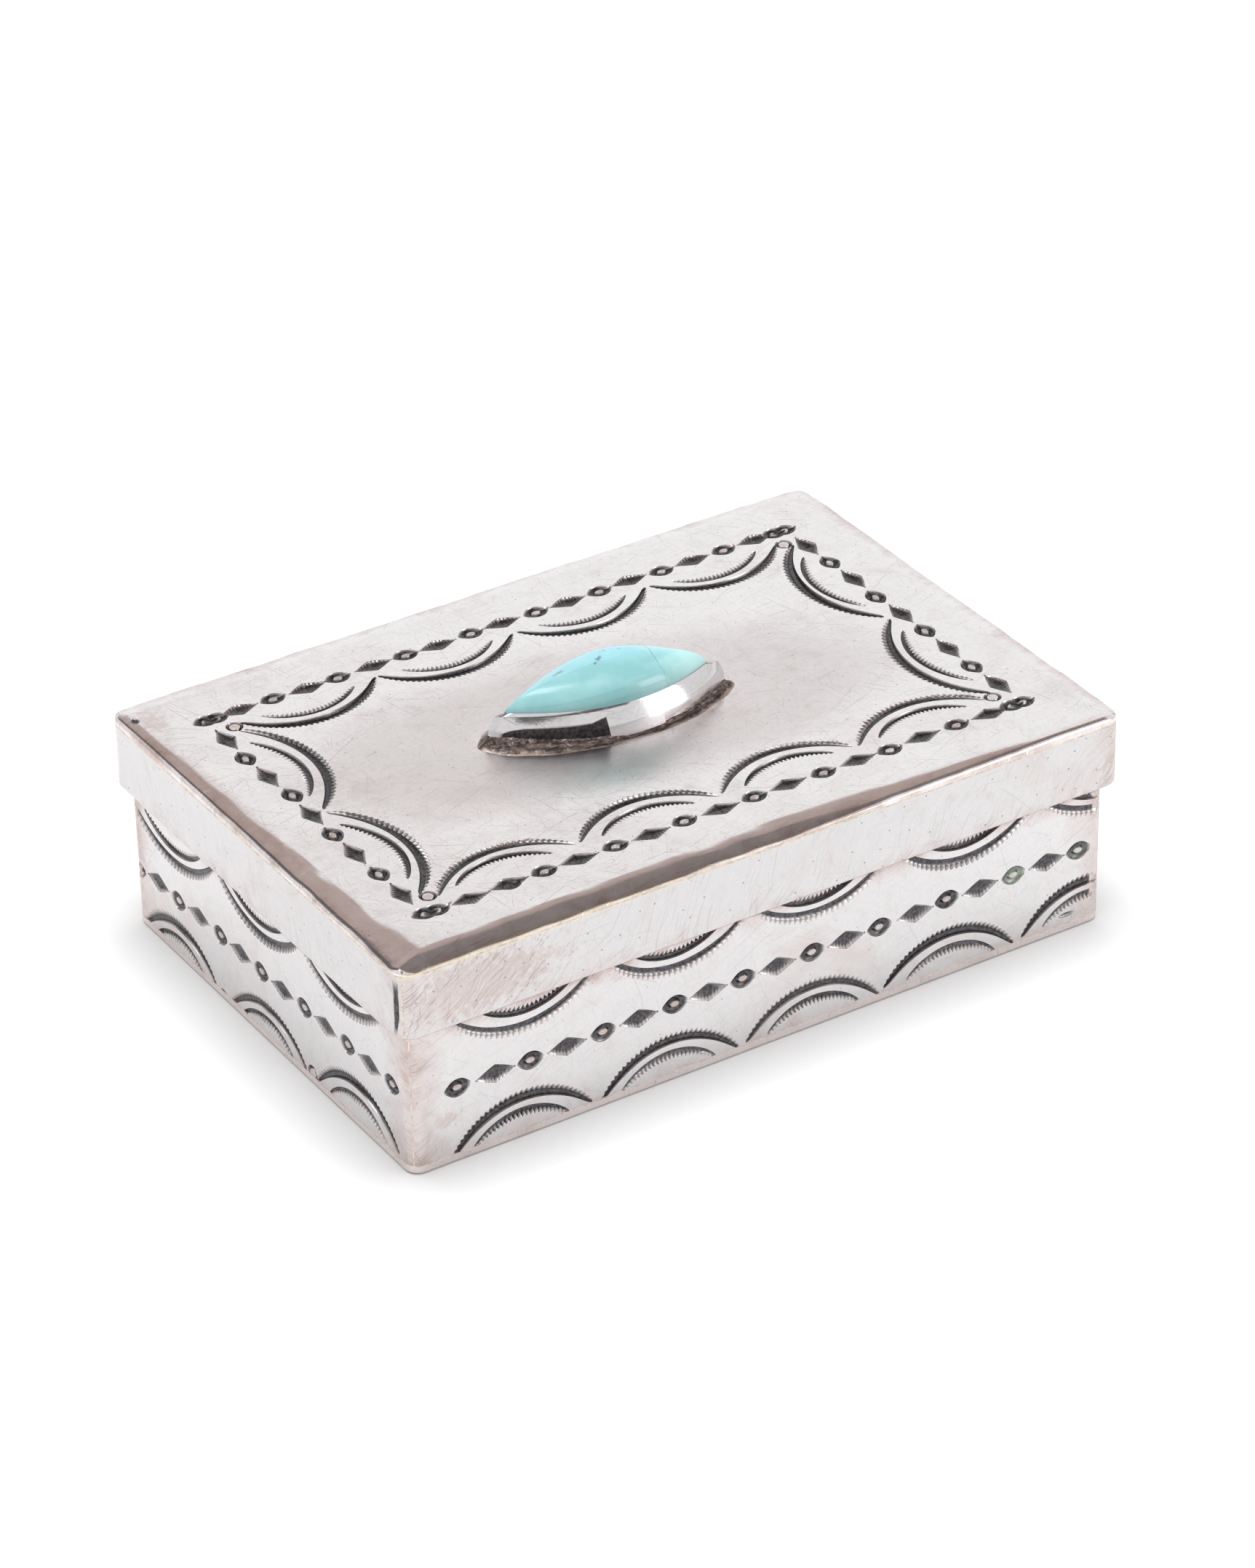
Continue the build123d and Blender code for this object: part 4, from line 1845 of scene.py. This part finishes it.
    @staticmethod
    def ripple(along: float, side: Side, size: float) -> float:
        """Chance wear along a side, its own for each side, whose waves have about a size."""
        return noise.noise(Vector((along / size, 7.0 * side.normal.x, 3.0 * side.normal.y)))

    def fall(self, gap: float, side: Side, along: float) -> float:
        """How far one worn edge lets a place down.

        Args:
            gap: The place's distance from the edge.
            side: The edge's side.
            along: The place along it.

        Returns:
            The fall.
        """
        wander = math.sin(along / (4.1 * MM)) + math.sin(along / (9.7 * MM) + side.normal.x)
        large = self.ripple(along, side, 5.0 * MM)
        small = self.ripple(along, side, 1.7 * MM)
        wide = SHOULDERS[side].wide * MM * (1 + 0.05 * wander + 0.3 * large + 0.16 * small)
        steep_share = SHOULDERS[side].steep_share
        if side is Side.FRONT:
            rightness = min(1.0, max(0.0, along / self.high.x + 0.1) / 0.95)
            wide *= 1 - 0.9 * rightness ** 1.8 - 0.3 * max(0.0, -0.7 - along / self.high.x)
            steep_share *= 1 - 0.9 * min(1.0, 1.8 * rightness)
        if side is Side.LEFT:
            wide *= 0.7 + 0.35 * along / self.high.y
        bent = max(0.0, wide - gap) * self.gentle
        return bent + max(0.0, wide * steep_share - gap) * self.steep

    def shoulder(self, place: Vector) -> float:
        """How far the worn edges let a place down, in millimetres."""
        falls = [self.fall(self.side_gap(place, side), side, place.dot(side.along)) for side in Side]
        return self.lifted(place) * max(0.0, *falls) / MM

    def corner(self, place: Vector) -> float:
        """How near a place is to one of the plate's corners."""
        away = math.hypot(self.high.x - abs(place.x), self.high.y - abs(place.y))
        return self.lifted(place) * max(0.0, 1 - away / (10 * MM)) ** 1.8

    def middle(self, place: Vector) -> float:
        """How far a place is inside the plate, from 0 near its edges to 1."""
        return self.lifted(place) * clamp((self.edge_gap(place) - 2 * MM) / (6 * MM))

    def pattern(self) -> list[Blow]:
        """The marks of the lid, measured from its middle.

        Returns:
            The marks.
        """
        blows = self.front_row()
        for turn in (90, 180, 270):
            long_row = turn == 180
            reach = self.border_x if long_row else self.border_y
            offset = self.border_y if long_row else self.border_x
            blows += self.even_row(reach, offset, 18 if long_row else 10, turn)
        for turn in (0, 90, 180, 270):
            long_row = turn in (0, 180)
            reach = (self.scallop_x if long_row else self.scallop_y) - 0.5 * MM
            offset = self.scallop_y if long_row else self.scallop_x
            blows += self.scallop_row(reach, offset, 4 if long_row else 2, turn)
        for sign_x in (-1, 1):
            for sign_y in (-1, 1):
                blows.append(Blow(Mark.CIRCLE, sign_x * self.scallop_x, sign_y * self.scallop_y))
                blows.append(Blow(Mark.RING, sign_x * self.border_x, sign_y * self.border_y))
                shifted = sign_x * (self.border_x - 1.4 * MM)
                blows.append(Blow(Mark.RING, shifted, sign_y * self.border_y, 0, 1))
        return blows

    def front_row(self) -> list[Blow]:
        """The front border, spaced from its right end, with the slip that the maker took up at the left.

        Returns:
            The marks.
        """
        pitch = self.front_pitch
        blows = []
        for place in range(1, 8):
            blows.append(Blow(Mark.RING, self.border_x - place * pitch, -self.border_y))
        for place in range(7):
            blows.append(Blow(Mark.DIAMOND, self.border_x - (place + 0.5) * pitch, -self.border_y))
        slip = self.border_x - 7.5 * pitch
        blows.append(Blow(Mark.DIAMOND, slip, -self.border_y))
        blows.append(Blow(Mark.RING, slip, -self.border_y, 0, 1))
        blows.append(Blow(Mark.DIAMOND, slip - 4.9 * MM, -self.border_y))
        return blows

    @staticmethod
    def even_row(reach: float, offset: float, steps: int, turn: float) -> list[Blow]:
        """One even border row of diamonds and rings.

        Args:
            reach: Half the row's length.
            offset: Its distance from the middle of the lid.
            steps: How many steps it has between its ends.
            turn: The turn that brings it to its side.

        Returns:
            The marks.
        """
        blows = []
        for place in range(1, steps):
            x, y = turned(place * 2 * reach / steps - reach, -offset, turn)
            blows.append(Blow(Mark.DIAMOND if place % 2 else Mark.RING, x, y, turn))
        return blows

    @staticmethod
    def scallop_row(reach: float, offset: float, count: int, turn: float) -> list[Blow]:
        """One row of scallops that fill a side from end to end.

        Args:
            reach: Half the row's length.
            offset: Its distance from the middle of the lid.
            count: How many scallops it has.
            turn: The turn that brings it to its side.

        Returns:
            The marks.
        """
        step = 2 * reach / count
        stretch = (step + 0.3 * MM) / SCALLOP.chord
        blows = []
        for place in range(count):
            x, y = turned((place - (count - 1) / 2) * step, -offset, turn)
            blows += scallop(x, y, turn, 2 + place % 2, stretch)
        return blows


def is_foot_arris(edge: bmesh.types.BMEdge, foot: float) -> bool:
    """Whether an edge is one where a tube's foot meets its inner or outer face."""
    steep = [abs(face.normal.z) for face in edge.link_faces]
    return max(vertex.co.z for vertex in edge.verts) <= foot + HAIR and max(steep) - min(steep) > 0.5


@dataclass(frozen=True)
class Skirt:
    """The four plain strips that hang from the lid's top plate."""

    corner_round: float = 2.2 * MM
    foot_round: float = 0.22 * MM
    # Darker than the walls' silver: painted shade, which holds the skirt down to the light that it has.
    tone: tuple = (0.68, 0.662, 0.668, 1)
    solder_light: tuple = (0.76, 0.67, 0.54, 1)
    solder_dark: tuple = (0.48, 0.4, 0.32, 1)
    rubbed: tuple[Smudge, ...] = (Smudge(-38.0, 23.0, 13.0, 5.0, 0.55), Smudge(41.0, 20.5, 5.0, 3.0, 0.3))
    combed: tuple[Stroke, ...] = (
        Stroke(38, 7.0, 0.09, 0.5),
        Stroke(35, 4.0, 0.07, 0.6),
        Stroke(41, 11.0, 0.08, 0.4),
    )

    def build(self) -> None:
        """Make the strips and dress them."""
        half_x, half_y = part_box("lid_top")[1][:2]
        foot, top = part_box("skirt_front")[0][2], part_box("skirt_front")[1][2]
        shell = Shell(half_x, half_y, foot, top, self.corner_round)
        tube = shell.tube("skirt_ring")
        edit(tube)
        choose(tube, Element.EDGES, lambda edge: is_foot_arris(edge, foot))
        bpy.ops.mesh.bevel(offset=self.foot_round, segments=3)
        close_edit()
        gouge = Vector((-half_x + 0.1 * MM, -31.2 * MM, 22.4 * MM))
        gouge_size = Vector((0.32, 0.28, 2.0)) * MM
        for side in Side:
            strip = shell.cut_side(tube, side, f"skirt_{side.label}_filed")
            edit(strip)
            slice_at(Vector((0, 0, top - 0.4 * MM)), Vector((0, 0, 1)))
            close_edit()
            if side is Side.LEFT:
                dent(strip, gouge, gouge_size)
            shell.note_depth(strip, side)
            if side is Side.LEFT:
                darken(strip, gouge, gouge_size)
            shell.hollow(strip, side, deep=0.2 * MM, size=11 * MM, margin=3 * MM)
            gilt = 1.0 if side is Side.FRONT else 0.35
            paint(strip, "rim", lambda place: self.handled(place, side, shell))
            paint(strip, "gold", lambda place: gilt * gilt_share(place) * (place.z > top - 0.1 * MM))
            smooth(strip)
            silver = SilverFinish(
                f"skirt {side.label} silver", side.lay, tone=self.tone, pit_share=0.5, pit_size=0.24,
                stamped=True, filed=0.8, filed_turn=38.0, smudges=self.rubbed if side is Side.FRONT else (),
                seed=6, strokes=self.combed + SilverFinish.strokes[1:4]
            )
            dress(strip, silver.build())
            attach(strip, "lid")
            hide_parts(f"skirt_{side.label}")
            LOG.info("skirt %s: %d faces", strip.name, len(strip.data.polygons))
        put_away(tube)
        seam = SolderFinish("lid seam solder", light=self.solder_light, dark=self.solder_dark).build()
        dress(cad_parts["lid_solder"], seam)
        dress(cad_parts["skirt_corner_solder"], seam)

    @staticmethod
    def handled(place: Vector, side: Side, shell: Shell) -> float:
        """How stained a place on a strip is: most at its ends, a little along its foot."""
        most = 0.3 if side is Side.LEFT and place.y > 0 else 0.85
        return max(most - shell.from_end(place, side) / (8 * MM), 0.5 - (place.z - shell.foot) / (2 * MM))


# The setting


@dataclass(frozen=True)
class Setting:
    """The stone in its bezel, in the middle of the lid."""

    half_length: float = 12.75 * MM
    half_width: float = 4.65 * MM
    tip_growth: float = 1.25
    middle_x: float = -1.1 * MM
    middle_y: float = -0.3 * MM
    turn: float = math.radians(-7.4)
    sheet: float = 0.42 * MM
    gap: float = 0.04 * MM
    lean: float = 0.3 * MM
    fold: float = 1.0 * MM
    stations: int = 144
    rises: tuple[float, ...] = (0.0, 0.2, 0.28, 0.34) + tuple(0.38 + 0.04 * step for step in range(15))
    strip_crease: float = 40
    soft_crease: float = 60
    lap_start: float = 0.719
    lap_end: float = 0.80
    foot_slope: tuple = ((0.72, 0.08), (0.55, 0.2), (0.4, 0.36), (0.28, 0.54), (0.16, 0.74), (0.06, 0.93))
    foot_away: tuple[float, ...] = (0.0, 1.0, 1.0, 0.85, 0.66, 0.48, 0.3, 0.15, 0.05, 0.0)
    crown: float = 3.3 * MM
    lean_right: float = 1.4 * MM
    fullness: float = 2.6
    tip_gap_share: float = 0.985
    stone_rows: int = 22
    girdle_rows: int = 3

    def build(self) -> None:
        """Make the bezel, its solder and the stone, and dress them."""
        self.build_strip()
        self.build_foot()
        self.build_stone()
        packing = SolderFinish("packing", light=(0.3, 0.2, 0.1, 1), dark=(0.1, 0.06, 0.03, 1)).build()
        dress(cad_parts["stone_packing"], packing)
        self.build_lap()

    def seat(self) -> Matrix:
        """Takes the setting's own plane to its place on the lid."""
        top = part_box("lid_top")[1][2]
        return Matrix.Translation((self.middle_x, self.middle_y, top)) @ Matrix.Rotation(self.turn, 4, "Z")

    def halo(self) -> Halo:
        """The stained oval on the lid round the setting."""
        long, wide = self.half_length + 3 * MM, self.half_width + 2.0 * MM
        return Halo(self.seat().translation, self.turn, long, wide)

    def outline(self, share: float, grow: float, fold: float = 0.0) -> tuple[float, float]:
        """A point on the pointed oval, a share of the way round from its right tip.

        Args:
            share: From 0 to 1, back edge first.
            grow: How far outside the stone's edge. The tips grow rounder with it.
            fold: How far the pinched tips reach past the stone's.

        Returns:
            The point in the setting's plane.
        """
        long = self.half_length + grow * self.tip_growth
        wide = self.half_width + grow
        blunt = 1 - 0.5 * min(1.0, max(0.0, grow) / (1.8 * MM))
        x = math.cos(math.tau * share)
        side = 1 if share <= 0.5 else -1
        reach = long * x + math.copysign(fold * abs(x) ** 12, x)
        return reach, side * wide * max(0.0, 1 - x * x) ** blunt

    def sweep(
        self,
        name: str,
        profile: Profile,
        first: float = 0.0,
        last: float = 1.0,
        away: tuple[float, ...] = (),
        pinched: int | None = None,
    ) -> Piece:
        """Sweep a closed profile round the pointed oval, or along a part of it.

        Args:
            name: The piece's name.
            profile: For a share of the way round, the profile's points as growth and height.
            first: The share of the way round where the piece begins.
            last: The share where it ends.
            away: A number for each point of the profile, which the finish reads.
            pinched: How many points of the profile reach into the pinched tips, or None for all.

        Returns:
            The piece, in the setting's plane.
        """
        rows = len(profile(first))
        stations = max(6, round(self.stations * (last - first)))
        piece = grid(name, stations, rows)
        if away:
            paint(piece, "away", lambda old: away[round((old.y + 0.5) * rows) % rows])
            paint(piece, "round", lambda old: abs(old.x))

        def place(old: Vector) -> Vector:
            """Where a point of the unit grid lies on the swept piece."""
            share = (first + round((old.x + 0.5) * stations) / stations * (last - first)) % 1.0
            row = round((old.y + 0.5) * rows) % rows
            grow, height = profile(share)[row]
            x, y = self.outline(share, grow, self.fold if pinched is None or row < pinched else 0.0)
            return Vector((x, y, height))

        reshape(piece, place)
        edit(piece)
        bpy.ops.mesh.select_all(action="SELECT")
        bpy.ops.mesh.remove_doubles(threshold=SWEEP_MERGE_GAP)
        bpy.ops.mesh.fill_holes(sides=0)
        bpy.ops.mesh.normals_make_consistent(inside=False)
        close_edit()
        return piece

    def rim_height(self, share: float) -> float:
        """The rim's height over the lid, lower towards the tips."""
        return (3.55 + 0.5 * abs(math.sin(math.tau * share))) * MM

    def outer_face(self, rim: float) -> list[tuple[float, float]]:
        """The strip's outer face from foot to rim, upright and then burnished over, as growth and height."""
        out = self.gap + self.sheet + self.lean
        return [(out - 1.43 * MM * max(0.0, rise - 0.42) ** 1.32, rim * rise) for rise in self.rises]

    def tarnish(self, place: Vector) -> float:
        """How dark the strip's outer face is painted left of the lap: a painted reflection of the solder
        foot, partly tarnished.

        Args:
            place: The place, in the setting's plane.

        Returns:
            The painted reflection, partly tarnished, read by the finish as a depth.
        """
        left = -place.x / (self.half_length + 1.4 * MM)
        if left < 0 or left > 1 or place.y > 0:
            return 0.0
        height = place.z / self.rim_height(math.acos(left) / math.tau)
        reach = 0.66 - 0.05 * left + 0.12 * max(0.0, 1 - abs(left - 0.17) / 0.12) - 0.3 * left ** 12
        return 0.3 * clamp((reach - height) / 0.04) * clamp((0.97 - left) / 0.04)

    def strip_profile(self, share: float) -> list[tuple[float, float]]:
        """The bezel strip's section: up its outer face and down its inner one.

        Args:
            share: The share of the way round.

        Returns:
            The section's points, as growth and height.
        """
        rim = self.rim_height(share)
        return self.outer_face(rim) + [
            (self.gap - 0.02 * MM, rim),
            (self.gap - 0.12 * MM, rim * 0.985),
            (self.gap + self.lean * 0.1, rim * 0.86),
            (self.gap + self.lean, 0.0),
        ]

    def build_strip(self) -> None:
        """The bezel strip, burnished in over the stone's edge."""
        strip = self.sweep("bezel_strip_burnished", self.strip_profile, pinched=len(self.rises))
        # Paints the dark band on the strip's outer face: a painted reflection of the solder foot, partly
        # tarnished.
        paint(strip, "sunk", self.tarnish)
        strip.data.transform(self.seat())
        smooth(strip, self.strip_crease)
        # The darker black and charcoal blacken that painted reflection band.
        silver = SilverFinish(
            "bezel silver", Lay.LONG, black=(0.03, 0.027, 0.03, 1), charcoal=(0.08, 0.072, 0.075, 1),
            polish=0.05, stamped=True, seed=8
        )
        dress(strip, silver.build())
        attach(strip, "lid")
        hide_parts("bezel_strip")

    def lap_profile(self, share: float) -> list[tuple[float, float]]:
        """The lap's section, proud of the strip at its start and level with it at its end.

        Args:
            share: The share of the way round.

        Returns:
            The section's points, as growth and height.
        """
        rim = self.rim_height(share)
        done = (share - self.lap_start) / (self.lap_end - self.lap_start)
        proud = 0.2 * MM * max(0.0, 1 - done) ** 0.7 - 0.02 * MM
        faded = [1 - 2.8 * max(0.0, rise - 0.5) for rise in self.rises]
        face = [(grow + proud * fade, height) for (grow, height), fade in zip(self.outer_face(rim), faded)]
        face[0] = (face[0][0], 0.3 * MM)
        return face + [(self.sheet - 0.2 * MM, rim * 0.88), (self.sheet + self.lean - 0.1 * MM, 0.3 * MM)]

    def build_lap(self) -> None:
        """The lapped end of the strip, which steps down at the front and fades to the right."""
        lap = self.sweep("bezel_lap", self.lap_profile, self.lap_start, self.lap_end)
        top = self.rim_height(0.75)
        reshape(lap, lambda place: place + Vector((0.2 * (top - place.z), 0, 0)))
        lap.data.transform(self.seat())
        smooth(lap, self.strip_crease)
        dress(lap, SilverFinish("lap silver", Lay.LONG, polish=0.12, seed=9).build())
        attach(lap, "lid")
        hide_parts("bezel_lap_solder")

    def foot_profile(self, share: float) -> list[tuple[float, float]]:
        """The fillet's section, larger towards the left and uneven all the way.

        Args:
            share: The share of the way round.

        Returns:
            The section's points, as growth and height.
        """
        start = 0.46 * MM + self.lean
        swing = 0.5 + 0.5 * math.sin(math.tau * share * 9) * math.cos(math.tau * share * 5 + 1)
        leftness = max(0.0, -math.cos(math.tau * share)) ** 0.5
        tip = max(0.0, math.cos(math.tau * share)) ** 12
        wide = (0.65 + 0.2 * swing + 0.4 * leftness + 0.35 * tip) * MM
        tall = (0.45 + 0.12 * swing + 0.8 * leftness + 0.35 * tip) * MM
        return [
            (start - 0.1 * MM, -0.15 * MM),
            (start + wide, -0.15 * MM),
            (start + wide * 0.9, -0.02 * MM),
            *((start + wide * across, tall * up) for across, up in self.foot_slope),
            (start - 0.1 * MM, tall),
        ]

    def build_foot(self) -> None:
        """The stained fillet of solder round the bezel's foot."""
        foot = self.sweep("bezel_foot_bead", self.foot_profile, away=self.foot_away)
        foot.data.transform(self.seat())
        low = corners(foot)[0].z

        def raised(place: Vector) -> float:
            """The share of the push at a place, none under the lid's face."""
            return clamp((place.z - low - 0.14 * MM) / (0.2 * MM))

        push(foot, "Z", 0.24 * MM, raised, 1.8 * MM)
        push(foot, "Z", -0.3 * MM, raised, 0.6 * MM)
        smooth(foot, self.soft_crease)
        dress(foot, FootFinish("foot solder").build())
        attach(foot, "lid")
        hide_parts("bezel_foot_solder")

    def stone_place(self, old: Vector) -> Vector:
        """Where a point of the unit grid lies on the stone.

        Args:
            old: The point of the grid.

        Returns:
            Its place, in the setting's plane.
        """
        share = (old.x + 0.5) % 1.0 if old.x < 0.4999 else 0.0
        row = round((old.y + 0.5) * self.stone_rows)
        rim = self.rim_height(share)
        if row < self.girdle_rows:
            rise = row / self.girdle_rows
            x, y = self.outline(share, self.lean * (1 - rise) - 0.02 * MM)
            return Vector((x * self.tip_gap_share, y, (1.2 * MM) + (rim - 1.25 * MM) * rise))
        level = math.sin(math.pi / 2 * (row - self.girdle_rows) / (self.stone_rows - self.girdle_rows))
        x, y = self.outline(share, -0.02 * MM)
        x *= self.tip_gap_share * math.sqrt(max(0.0, 1 - level ** 1.6))
        y *= max(0.0, 1 - level ** self.fullness) ** (1 / self.fullness)
        low = rim - 0.05 * MM
        height = low + (self.rim_height(0.25) - low) * level + self.crown * level
        return Vector((x + self.lean_right * level ** 2, y, height))

    def build_stone(self) -> None:
        """The stone: a girdle inside the bezel and a high smooth crown."""
        stone = grid("turquoise_cabochon", self.stations, self.stone_rows)
        reshape(stone, self.stone_place)
        edit(stone)
        bpy.ops.mesh.select_all(action="SELECT")
        bpy.ops.mesh.remove_doubles(threshold=SWEEP_MERGE_GAP)
        choose(stone, Element.EDGES, lambda edge: edge.is_boundary)
        bpy.ops.mesh.edge_face_add()
        bpy.ops.mesh.select_all(action="SELECT")
        bpy.ops.mesh.normals_make_consistent(inside=False)
        close_edit()
        seat = self.seat()
        stone.data.transform(seat)
        smooth(stone, self.soft_crease)
        dress(stone, TurquoiseFinish("turquoise", seat.translation, self.turn).build())
        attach(stone, "lid")
        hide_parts("turquoise_stone")
        LOG.info("setting: %d faces in the stone", len(stone.data.polygons))


# The studio


def outward(azimuth: float, elevation: float) -> Vector:
    """The direction from the box to a place seen at these angles, in degrees."""
    turn, rise = math.radians(azimuth), math.radians(elevation)
    return Vector((math.sin(turn) * math.cos(rise), -math.cos(turn) * math.cos(rise), math.sin(rise)))


def facing(back: Vector) -> Matrix:
    """The turn of a lamp or card that looks back along a direction."""
    return back.to_track_quat("Z", "Y").to_matrix().to_4x4()


def plain(name: str, colour: tuple) -> Material:
    """A dull surface of one colour."""
    return NodeTable(name).surface({"Base Color": colour, "Roughness": 0.9})


class CardTone(Enum):
    """The plain colours of the cards."""

    BROWN = ("brown card", (0.40, 0.31, 0.28, 1))
    DARK = ("dark card", (0.1, 0.09, 0.09, 1))
    GREY = ("grey card", (0.21, 0.182, 0.175, 1))


@dataclass(frozen=True)
class Softbox:
    """One square area light that looks at the box: its angles in degrees, distance, size and power."""

    name: str
    azimuth: float
    elevation: float
    away: float
    size: float
    power: float
    mirrored: bool = True

    def build(self) -> None:
        """Hang the light."""
        light = bpy.data.lights.new(self.name, "AREA")
        light.size = self.size
        light.energy = self.power
        lamp = bpy.data.objects.new(self.name, light)
        bpy.context.scene.collection.objects.link(lamp)
        back = outward(self.azimuth, self.elevation)
        lamp.matrix_world = Matrix.Translation(back * self.away) @ facing(back)
        lamp.visible_glossy = self.mirrored


@dataclass(frozen=True)
class Card:
    """One plain card, a metre away, that only the silver mirrors: its angles in degrees and its size."""

    name: str
    azimuth: float
    elevation: float
    wide: float
    tall: float
    tone: CardTone

    def build(self, finish: Material) -> None:
        """Set the card up.

        Args:
            finish: Its finish.
        """
        back = outward(self.azimuth, self.elevation)
        deselect_all()
        bpy.ops.mesh.primitive_plane_add(size=1)
        card = bpy.context.active_object
        card.name = self.name
        size = Matrix.Diagonal((self.wide, self.tall, 1, 1))
        card.matrix_world = Matrix.Translation(back) @ facing(back) @ size
        card.data.materials.append(finish)
        card.visible_camera = False
        card.visible_shadow = False
        card.visible_diffuse = False


@dataclass(frozen=True)
class Studio:
    """The floor, the light and the camera."""

    azimuth: float = -32.0
    elevation: float = 31.7
    distance: float = 652 * MM
    roll: float = math.radians(-1.1)
    focal_pixels: float = 7831
    frame_pixels: float = 2156
    target: tuple = (2.37 * MM, 1.23 * MM, 16.73 * MM)
    world_strength: float = 0.9
    softboxes: tuple[Softbox, ...] = (
        Softbox("top box", 0, 90, 1.3, 0.55, 12.5, mirrored=False),
        Softbox("high left box", -145, 72, 1.0, 0.24, 0.7),
        Softbox("right box", 42, 12, 0.9, 0.4, 1.3),
        Softbox("back box", 150, 20, 1.2, 1.0, 0.2),
    )
    cards: tuple[Card, ...] = (
        Card("front_brown_card", 143, 46, 0.9, 0.26, CardTone.BROWN),
        Card("left_brown_card", 175, 41, 0.46, 0.3, CardTone.BROWN),
        Card("front_dark_card", 108, 66, 1.25, 0.54, CardTone.GREY),
        Card("left_dark_card", 193, 44, 0.44, 0.5, CardTone.DARK),
        Card("camera_card", -18, 27.5, 1.3, 0.2, CardTone.DARK),
    )

    def build(self) -> None:
        """Set up the floor, the light and the camera."""
        self.build_floor()
        self.build_camera()
        self.build_light()
        bpy.context.scene.view_settings.view_transform = "Standard"

    def build_floor(self) -> None:
        """A plain pale floor."""
        deselect_all()
        bpy.ops.mesh.primitive_plane_add(size=6)
        floor = bpy.context.active_object
        floor.name = "floor"
        floor.data.materials.append(plain("pale floor", (0.73, 0.73, 0.73, 1)))

    def build_camera(self) -> None:
        """The camera at the photograph's place."""
        lens = bpy.data.cameras.new("camera")
        camera = bpy.data.objects.new("camera", lens)
        bpy.context.scene.collection.objects.link(camera)
        back = outward(self.azimuth, self.elevation)
        right = Vector((0, 0, 1)).cross(back).normalized()
        up = back.cross(right)
        turned_right = math.cos(self.roll) * right + math.sin(self.roll) * up
        turned_up = -math.sin(self.roll) * right + math.cos(self.roll) * up
        place = Matrix.Translation(Vector(self.target) + back * self.distance)
        camera.matrix_world = place @ column_matrix((turned_right, turned_up, back))
        lens.sensor_fit = "VERTICAL"
        lens.sensor_height = 24
        lens.lens = self.focal_pixels * lens.sensor_height / self.frame_pixels
        lens.clip_start = 0.01
        bpy.context.scene.camera = camera

    def build_light(self) -> None:
        """Even light from all round, the soft boxes, and the cards that the silver mirrors."""
        world = bpy.data.worlds.new("studio")
        bpy.context.scene.world = world
        world.use_nodes = True
        backdrop = world.node_tree.nodes["Background"].inputs
        backdrop["Color"].default_value = (1, 1, 1, 1)
        backdrop["Strength"].default_value = self.world_strength
        for softbox in self.softboxes:
            softbox.build()
        finishes = {tone: plain(*tone.value) for tone in CardTone}
        for card in self.cards:
            card.build(finishes[card.tone])


def main() -> None:
    """Build the whole box and its studio."""
    logging.basicConfig(level=logging.INFO, format="%(message)s")
    roll = PunchRoll(PUNCHES, seed=11)
    setting = Setting()
    Walls(roll).build()
    Base().build()
    LidTop(roll, setting.halo()).build()
    Skirt().build()
    roll.put_away()
    setting.build()
    Studio().build()


if __name__ == "__main__":
    main()
